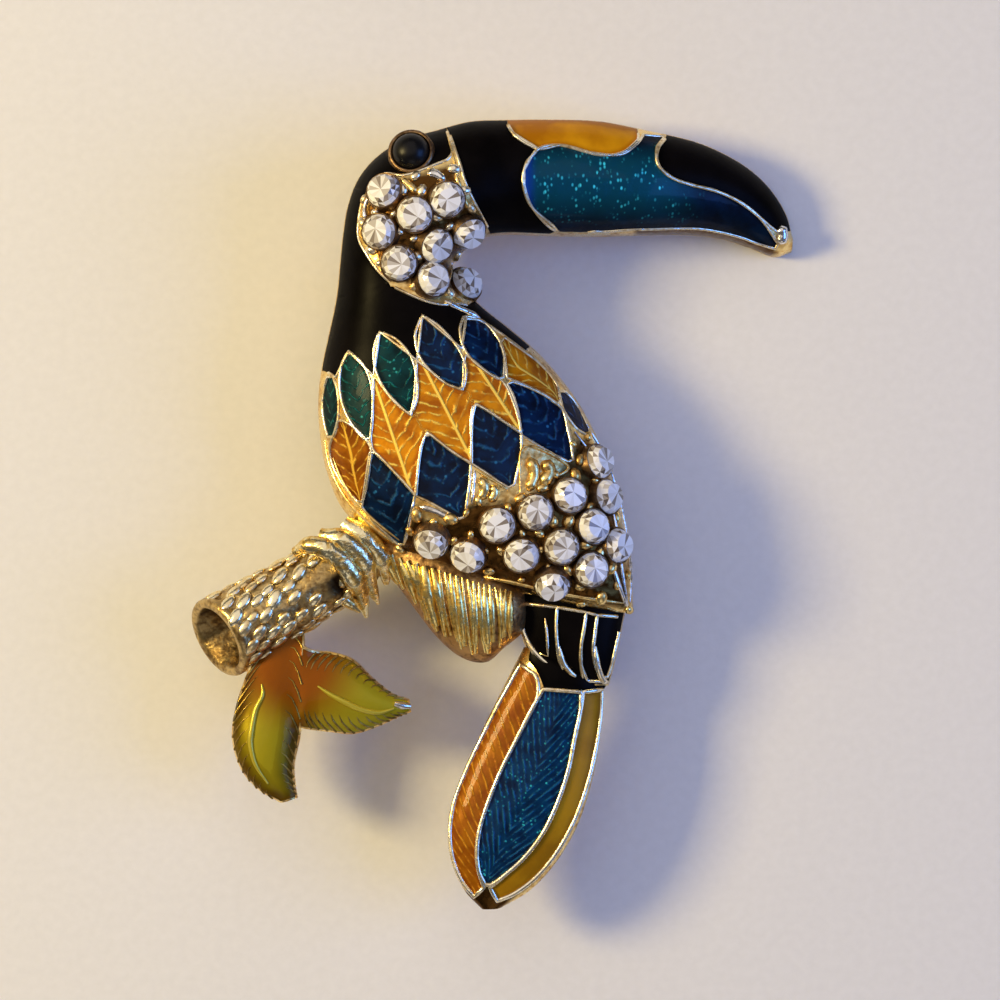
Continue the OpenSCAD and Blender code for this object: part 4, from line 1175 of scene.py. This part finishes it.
def beads_in(field, apart):
    """Loose spots over a drawn field, clear of the stones."""
    loop = outline(field)
    low, high = loop.min(0), loop.max(0)
    spots = []
    for _ in range(TRIES):
        p = np.array([chance.uniform(low[0], high[0]), chance.uniform(low[1], high[1])])
        if (inside(loop, p[None])[0] and np.linalg.norm(stone_at - p, axis=1).min() > STONE_CLEAR
                and all(np.linalg.norm(p - q) > apart for q in spots)):
            spots.append(p)
    turns = [chance.uniform(0, math.tau) for _ in spots]
    return [((*p, bird.top(p) + 0.06), bird.slope(p), (math.cos(t), math.sin(t), 0))
            for p, t in zip(spots, turns)]


put_on("face_beads", bead, beads_in(FACE_FIELD, 1.15), pale_gold, (0.6, 1.2), 0.4, 3)
put_on("wing_beads", bead, beads_in(WING_FIELD, 1.2), gold, (0.6, 1.3), 0.4, 8)
bpy.data.objects.remove(bead)

# Ridges of the same casting: the doubled rim of the wing, its lower edge, the thin lines by the
# eye, the bright bars at the throat and the bill's tip. Their plating is gold, or pale white metal
# that stands partly for worn plating and partly for painted highlights: the bill's tip and the
# cool window's reflection along the wing's rim. Each line: its finish, its share of the thickness,
# and the places it runs through.
white_metal_and_highlights = metal_finish("white metal and painted highlights", (0.96, 0.95, 0.93), (0.62, 0.58, 0.52),
                           (0.14, 0.11, 0.08), 0.14)
RIDGE_R = 0.16
RIDGES = [
    (white_metal_and_highlights, 1.2, [[586, 424], [604, 456], [617, 492], [626, 532], [630, 570], [630, 602]]),
    (white_metal_and_highlights, 1.0, [[574, 432], [590, 454], [603, 480], [612, 510], [618, 542], [622, 574],
                        [628, 606]]),
    (white_metal_and_highlights, 1.5, [[445, 302], [456, 308], [468, 313], [480, 319]]),
    (white_metal_and_highlights, 1.2, [[612, 566], [618, 585], [627, 608]]),
    (white_metal_and_highlights, 3.0, [[784, 222], [786, 231], [784, 240]]),
    (white_metal_and_highlights, 0.7, [[452, 262], [451, 275], [446, 288], [438, 296]]),
    (white_metal_and_highlights, 1.6, [[420, 506], [436, 511], [452, 519]]),
    (white_metal_and_highlights, 0.9, [[415, 500], [411, 520], [407, 540]]),
    (white_metal_and_highlights, 0.9, [[475, 470], [474, 486], [472, 504]]),
    (gold, 1.1, [[402, 549], [436, 565], [470, 574], [510, 581], [550, 591], [590, 598],
                 [624, 603]]),
    (gold, 0.9, [[325, 440], [330, 464], [341, 489], [357, 511], [379, 531], [402, 547]]),
    (gold, 0.7, [[334, 458], [343, 480], [357, 501], [376, 521], [400, 540]]),
    (gold, 0.6, [[447, 133], [452, 152], [458, 178], [464, 205]]),
    (white_metal_and_highlights, 2.2, [[428, 176], [437, 177], [446, 184]]),
    (white_metal_and_highlights, 1.6, [[436, 186], [444, 192], [450, 202]]),
    (white_metal_and_highlights, 1.2, [[372, 196], [366, 208], [366, 222]]),
    (gold, 2.2, [[402, 182], [410, 188], [418, 196]]),
    (gold, 1.6, [[398, 190], [396, 200], [400, 208]]),
    (gold, 1.4, [[456, 176], [462, 196], [470, 214]]),
    (gold, 0.8, [[476, 470], [492, 480], [508, 490]]),
    (gold, 0.8, [[520, 495], [524, 447], [567, 466], [551, 480]]),
    (gold, 3.0, [[529, 458], [534, 474], [528, 491]]),
    (gold, 3.0, [[542, 462], [549, 471], [541, 486]]),
    (gold, 2.6, [[481, 477], [485, 489], [480, 500]]),
    (gold, 2.2, [[492, 485], [495, 493], [490, 502]]),
]
for finish, name in ((white_metal_and_highlights, "white_ridges"), (gold, "gold_ridges")):
    lines = [drawn_line(bird, share, drawn, 0.03, 0.15, 0.3)
             for own, share, drawn in RIDGES if own is finish]
    swept(name, lines, RIDGE_R, finish, unevenness=0.8)

# The eye: a black glass cabochon in a plain turned collar of the casting, leaning a little with
# the swelling of the head.
EYE_D, EYE_WALL, EYE_GAP, EYE_H, EYE_LIP, MOST_LEAN = 2.8, 0.3, 0.03, 1.3, 0.52, 50 / 3
EYE_SIDES, DOME_STEPS = 48, 14
eye_at = place(412, 155)
slope = bird.slope(eye_at)
lean = min(math.acos(slope.z), math.radians(MOST_LEAN))
flat = Vector((slope.x, slope.y, 0)).normalized()
eye_way = flat * math.sin(lean) + Vector((0, 0, math.cos(lean)))
eye_spot = [((*eye_at, bird.top(eye_at)), eye_way, (1, 0, 0))]
ball = [(EYE_D / 2 * math.sin(a), 0.3 + (EYE_H - 0.05) * math.cos(a))
        for a in np.linspace(0, math.pi / 2, DOME_STEPS)]
dome = turned("cabochon", [(0, ball[0][1])] + ball[1:] + [(EYE_D / 2, 0.1), (0, 0.1)], EYE_SIDES)
inner = EYE_D / 2 + EYE_GAP
collar_profile = [(inner + 0.06, EYE_LIP), (inner + EYE_WALL * 0.6, EYE_LIP),
                  (inner + EYE_WALL, EYE_LIP - 0.14), (inner + EYE_WALL + 0.1, -0.5),
                  (inner, -0.3), (inner, EYE_LIP - 0.06)]
collar = turned("collar", collar_profile, EYE_SIDES, angle=70)
onyx = finish_of("black glass", base_color=(0.003, 0.003, 0.004, 1), roughness=0.3, ior=1.45,
                 specular_ior_level=0.25)
join_to_shader(onyx, "Roughness", reach(onyx, clouds_on(onyx, 900.0), 0.3, 0.7, 0.25, 0.4))
eye = put_on("eye_cabochon", dome, eye_spot, onyx)
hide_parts("eye")
# The collar takes the cups' dark metal: painted shade round the cabochon.
put_on("eye_collar", collar, eye_spot, cup_shadow_metal)
for piece in (dome, collar):
    bpy.data.objects.remove(piece)

# The belly tuft: broad folds and long plumes carved into the same casting below the wing, bright
# on their ridges and dark in the cuts between them.
PLUME_TOP = [[372, 545], [405, 560], [440, 570], [478, 582], [514, 592]]
PLUME_END = [[388, 572], [425, 620], [455, 648], [482, 658], [516, 640]]
PLUMES, FOLDS, FOLDED, PLUME_STEPS = 22, 8, 0.48, 11


def part_way(points, share):
    """A place part of the way along drawn points."""
    points = np.array(points, float)
    marks = np.linspace(0, 1, len(points))
    return np.array([np.interp(share, marks, column) for column in points.T])


chance = random.Random(7)
plumes = []
for i in range(PLUMES):
    share = (FOLDED * (i + 0.5) / FOLDS if i < FOLDS
             else FOLDED + (1 - FOLDED) * (i + 0.5 - FOLDS) / (PLUMES - FOLDS))
    a = part_way(PLUME_TOP, share)
    b = part_way(PLUME_END, min(1, max(0, share + chance.uniform(-0.03, 0.03))))
    bend, length = chance.uniform(-3, 3), chance.uniform(0.82, 1.0)
    line = []
    for t in np.linspace(0, length, PLUME_STEPS):
        p = place(*(a * (1 - t) + b * t + [bend * math.sin(t * math.pi), 0]))
        line.append((*p, tuft.top(p) + 0.04))
    swell = np.sin(np.linspace(0.3, math.pi - 0.3, PLUME_STEPS))
    plumes.append((line, chance.uniform(0.6, 1.3) * (0.4 + 0.6 * swell), False))
plume_gold = metal_finish("plume plate", (1.0, 0.83, 0.34), (0.95, 0.64, 0.17),
                          (0.22, 0.10, 0.02), 0.2)
swept("tuft_folds", plumes[:FOLDS], 0.46, plume_gold, unevenness=1.8, seed=4.0)
swept("tuft_plumes", plumes[FOLDS:], 0.25, plume_gold, unevenness=1.3)

# The branch: a hollow tube of the casting with an open, leaning mouth, set with raised lozenges
# of bark. Inside its mouth and over a knot hole the bark is darkened as painted shade. The bird's
# toes grip its far end.
BRANCH_Z, BRANCH_R, BRANCH_END_R, ROOT_R, TOE_D = 7.4, 3.2, 2.5, 1.3, 1.7
BORE_DEEP, MOUTH_LEAN, BRANCH_WALL, LEAN_FADE = 8.0, 27, 0.8, 6
mouth, branch_end, root = place(216, 640), place(354, 561), place(386, 543)
branch_len = np.linalg.norm(branch_end - mouth)
root_len = np.linalg.norm(root - branch_end)
along = Vector((*(branch_end - mouth), 0)).normalized()
aside = Vector((-along.y, along.x, 0))
# A dark patch of painted shade on the bark stands for a knot hole here.
KNOT = place(343, 583)
BARK_SIDES, BARK_STEP, BARK_START = 64, 0.35, 1.3
KNOB_ROWS, KNOBS_ROUND, KNOB_PITCH, KNOB_FIRST, KNOB_TURN = 8, 9, 1.35, -112, 26


def on_branch(x, angle, radius, lean=1.0):
    """A place round the branch, in millimetres. Angle nought faces the viewer."""
    up, over = radius * math.cos(angle), radius * math.sin(angle)
    x += up * math.tan(math.radians(MOUTH_LEAN)) * lean
    return Vector((*mouth, BRANCH_Z)) + along * x + aside * over + Vector((0, 0, up))


def branch_radius(x):
    if x < branch_len:
        return BRANCH_R + (BRANCH_END_R - BRANCH_R) * x / branch_len
    return BRANCH_END_R + (ROOT_R - BRANCH_END_R) * (x - branch_len) / root_len


def tube(name, rings, count, material, rough):
    """A closed skin through rings about the branch's axis: place, radius, lean, roughness."""
    verts, rows, shade_and_tone_amounts = [], [], []
    for x, radius, lean, waver in rings:
        rows.append([len(verts) + i for i in range(count)] if radius else [len(verts)])
        for i in range(count if radius else 1):
            angle = math.tau * i / count
            p = on_branch(x, angle, radius, lean)
            wave = noise.noise(Vector((x * 0.9, math.cos(angle) * 3, math.sin(angle) * 3)))
            p = on_branch(x, angle, radius * (1 + wave * waver * rough), lean) if radius else p
            verts.append(tuple(c * 0.001 for c in p))
            # Painted shade: darker inside the bore, and a dark patch round the knot.
            bored = x <= BORE_DEEP and radius < BRANCH_R - BRANCH_WALL + 0.1
            off = np.linalg.norm(np.array(p[:2]) - KNOT) if p.z > BRANCH_Z else 9.0
            shade_and_tone_amounts.append(0.55 if bored else min(1.0, max(0.0, 1.7 - off)))
    made = piece_of(name, verts, skin(rows, count, (0, 3, 2, 1)), material, 60)
    mark(made.data, "painted_shade_and_tone", shade_and_tone_amounts)
    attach(made, "root")
    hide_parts("casting")


bore = BRANCH_R - BRANCH_WALL
rings = [(BORE_DEEP, 0, 0, 0), (BORE_DEEP, bore * 0.7, 0, 0),
         (BORE_DEEP - 0.6, bore * 0.86, 0.1, 0)]
rings += [(x, bore * (1 - 0.02 * x), 1 - x / BORE_DEEP, 1.0) for x in np.arange(6.5, 0.6, -0.5)]
rings += [(0.35, bore + 0.04, 1, 0.5), (0.1, bore + 0.18, 1, 0), (0.0, bore + 0.4, 1, 0),
          (0.06, BRANCH_R - 0.12, 1, 0), (0.25, BRANCH_R, 1, 0), (0.6, BRANCH_R, 0.95, 0),
          (0.9, BRANCH_R - 0.15, 0.92, 0.3)]
for x in np.arange(BARK_START, branch_len + root_len, BARK_STEP):
    rings.append((x, branch_radius(x) - 0.12, max(0, 0.9 - x / LEAN_FADE), 1.0))
rings.append((branch_len + root_len, 0, 0, 0))
bark = metal_finish("branch metal", (0.62, 0.44, 0.18), (0.26, 0.16, 0.06), (0.05, 0.027, 0.012),
                    0.3, 1.0)
tube("branch_bark", rings[::-1], BARK_SIDES, bark, 0.09)

lozenge = pebble("bark lozenge", 0.8, 0.46, 0.26, (0, 0.45, 0.8, 1.0), 12, [(0, 0, -0.3)])
chance = random.Random(11)
knobs = []
for row in range(KNOB_ROWS):
    for k in range(KNOBS_ROUND):
        angle = math.radians(KNOB_FIRST + KNOB_TURN * (k + (row % 2) / 2))
        angle += chance.uniform(-0.08, 0.08)
        at = BARK_START + row * KNOB_PITCH + chance.uniform(-0.2, 0.2)
        lean = max(0, 0.9 - at / LEAN_FADE)
        p = on_branch(at, angle, branch_radius(at) - 0.1, lean)
        out = aside * math.sin(angle) + Vector((0, 0, math.cos(angle)))
        if abs(k - 4) + abs(row - 6) > 1:  # none over the knot
            knobs.append((p, out, along + aside * 0.35))
knob_gold = metal_finish("bark lozenge plate", (1.0, 0.90, 0.60), (0.85, 0.62, 0.28),
                         (0.20, 0.10, 0.03), 0.2)
put_on("branch_lozenges", lozenge, knobs, knob_gold, (0.8, 1.2), 0.3, 5)
bpy.data.objects.remove(lozenge)

# The toes and the leg: rounded ridges cast over the end of the branch, each down to a claw.
# Each row: a drawn place, the share of the branch's radius above its middle, and of thickness.
TOES = [
    [[296, 552, 0.7, 0.5], [312, 545, 0.95, 0.8], [334, 552, 1.0, 1.0], [351, 572, 0.8, 1.05],
     [360, 595, 0.4, 0.8], [366, 617, 0.0, 0.2]],
    [[322, 536, 0.8, 0.7], [345, 540, 0.95, 1.0], [364, 560, 0.75, 1.0], [371, 586, 0.3, 0.6],
     [378, 604, 0.0, 0.2]],
    [[345, 524, 0.6, 0.8], [368, 540, 0.7, 1.1], [383, 562, 0.3, 0.9], [386, 584, 0.0, 0.3]],
    [[330, 590, 0.3, 0.4], [346, 600, 0.3, 0.6], [360, 610, 0.1, 0.4]],
]
toes = []
for rows in TOES:
    rows = drawn_through(np.array(rows), 5)
    toes.append(([(*place(x, y), BRANCH_Z + h * BRANCH_R) for x, y, h, _ in rows],
                 rows[:, 3], False))
leg_metal = metal_finish("leg plate", (1.0, 0.90, 0.55), (0.75, 0.50, 0.14), (0.07, 0.03, 0.008),
                         0.16, 1.0)
toes = swept("toes", toes, TOE_D / 2, leg_metal, sides=16, unevenness=0.9)
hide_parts("casting")

# The leaves: cast with the branch, glazed in yellow-green enamel that turns to brown where they
# spring from it. Each has a raised midrib and small teeth cut along its edge.
leaf_glaze, _ = glaze("leaf enamel", (0.13, 0.10, 0.004), (0.34, 0.28, 0.012), shine=0.3,
                      clouds=350.0)
# The glaze runs from dark brown at the leaves' edges to a light yellow-olive in their middles: a
# painted highlight along each leaf's middle.
depth = reckon(leaf_glaze, "ADD", reach(leaf_glaze, written(leaf_glaze, "edge"), 0.0, 2.2),
               reckon(leaf_glaze, "MULTIPLY", clouds_on(leaf_glaze, 500.0), 0.5))
plain = ramp(leaf_glaze, depth, [(0.25, (0.10, 0.055, 0.002)), (0.5, (0.20, 0.15, 0.004)),
                                 (0.95, (0.30, 0.24, 0.008)), (1.0, (0.36, 0.30, 0.012))])
leaf_stem = (*place(294, 662) * 0.001, 0.008)
far = add_node(leaf_glaze, "VectorMath", {0: spot_on(leaf_glaze), 1: leaf_stem},
               operation="DISTANCE").outputs["Value"]
brown = blend(leaf_glaze, reach(leaf_glaze, far, 0.0022, 0.0062), (0.24, 0.065, 0.001), plain)
join_to_shader(leaf_glaze, "Base Color", brown)
enamel("leaf_glaze", leaves, leaf_loops, leaf_glaze,
       ["leaf_down_glaze", "leaf_side_glaze"], 0.0)
TOOTH_SLANT = 22
RIBS = [
    [[262, 684], [263, 695], [256, 710], [252, 730], [251, 745], [256, 765], [268, 784]],
    [[318, 686], [330, 694], [345, 702], [360, 709], [378, 713], [394, 709]],
]
lines = []
for drawn in RIBS:
    rows = drawn_through(np.array(drawn, float), 4)
    spots = place(rows[:, 0], rows[:, 1])
    lines.append((on_top(leaves, spots, 0.0), np.sin(np.linspace(0.3, math.pi - 0.3, len(spots))),
                  False))
teeth = []
for form in (leaf_down, leaf_side):
    for i in range(9, len(form.rows) - 3, 3):
        for near, far in ((0, 2), (2, 0)):
            line = []
            for t in (0.02, 0.08, 0.16, 0.24):
                row = form.rows[i - round(t * TOOTH_SLANT)]
                line.append(row[near:near + 2] * (1 - t) + row[far:far + 2] * t)
            teeth.append((on_top(leaves, line, 0.0), [1.0, 0.9, 0.6, 0.2], False))
bronze = metal_finish("bronzed plate", (0.42, 0.28, 0.06), (0.25, 0.15, 0.03),
                      (0.08, 0.04, 0.01), 0.3)
teeth = swept("leaf_teeth", teeth, 0.1, bronze, unevenness=1.2)
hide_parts("casting")
tip = place(np.array([394, 402, 410]), np.array([704, 706, 707]))
# The leaf's tip is pale metal: a painted highlight.
swept("leaf_tip", [(on_top(leaves, tip, 0.05), [0.6, 1.0, 0.6], False)], 0.32, white_metal_and_highlights)
rib_gold = finish_of("glazed rib", base_color=(0.55, 0.45, 0.03, 1), metallic=0.4, roughness=0.3,
                     coat_weight=0.3)
ribs = swept("leaf_ribs", lines, 0.24, rib_gold)
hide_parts("leaf_down_glaze", "leaf_side_glaze")

# The pin: one plain pressed steel piece with its wire, soldered to the posts behind the bird.
steel = metal_finish("pin steel", (0.62, 0.62, 0.63), (0.5, 0.5, 0.5), (0.2, 0.2, 0.2), 0.32, 0.2)
pin_mesh = solids["pin_back"].data.copy()
work = bmesh.new()
work.from_mesh(pin_mesh)
bmesh.ops.remove_doubles(work, verts=work.verts, dist=1e-6)
work.to_mesh(pin_mesh)
work.free()
pin_mesh.materials.clear()
pin_mesh.materials.append(steel)
pin_mesh.shade_smooth()
pin_mesh.set_sharp_from_angle(angle=math.radians(30))
pin = linked("pin_and_catch", pin_mesh)
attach(pin, "root")
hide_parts("pin_back")

# The picture: the brooch lies on a plain pale board under a warm window on its left and a cool
# one on its right, seen from straight above.
board = bpy.data.meshes.new("board")
board.from_pydata([(-2, -2, 0), (2, -2, 0), (2, 2, 0), (-2, 2, 0)], [], [(0, 1, 2, 3)])
floor = linked("board", board)
paper = finish_of("pale board", base_color=(0.78, 0.74, 0.70, 1), roughness=0.75)
grit = clouds_on(paper, 1400.0)
roughen(paper, grit, 0.15, 0.0001)
join_to_shader(paper, "Base Color", ramp(paper, grit, [
    (0.3, (0.755, 0.75, 0.745)), (0.7, (0.785, 0.78, 0.775))]))
board.materials.append(paper)


def lamp(name, place_at, size, power, colour):
    """A soft square window light that faces the brooch."""
    light = bpy.data.lights.new(name, "AREA")
    light.shape, light.size, light.energy, light.color = "SQUARE", size, power, colour
    made = linked(name, light)
    made.location = place_at
    made.rotation_euler = (MIDDLE - Vector(place_at)).to_track_quat("-Z", "Y").to_euler()


MIDDLE = Vector((0.001, 0.001, 0.008))
lamp("warm window", (-0.30, 0.06, 0.24), 0.09, 1.35, (1.0, 0.79, 0.34))
lamp("cool window", (0.42, -0.02, 0.30), 0.30, 1.3, (0.12, 0.32, 1.0))
lamp("far window", (-0.10, 0.26, 0.55), 0.90, 1.75, (1.0, 0.90, 0.86))
lamp("near window", (0.05, -0.60, 0.34), 0.40, 0.3, (1.0, 0.92, 0.88))
world = bpy.data.worlds.new("room")
world.use_nodes = True
world.node_tree.nodes["Background"].inputs[0].default_value = (0.92, 0.88, 0.90, 1)
world.node_tree.nodes["Background"].inputs[1].default_value = 0.10
bpy.context.scene.world = world
bpy.context.scene.view_settings.view_transform = "Standard"

camera = bpy.data.cameras.new("camera")
camera.lens, camera.sensor_width = 190.0, 36.0
camera.clip_start, camera.clip_end = 0.01, 10.0
viewer = linked("camera", camera)
viewer.location = (0.00053, 0.00102, 0.407)
bpy.context.scene.camera = viewer
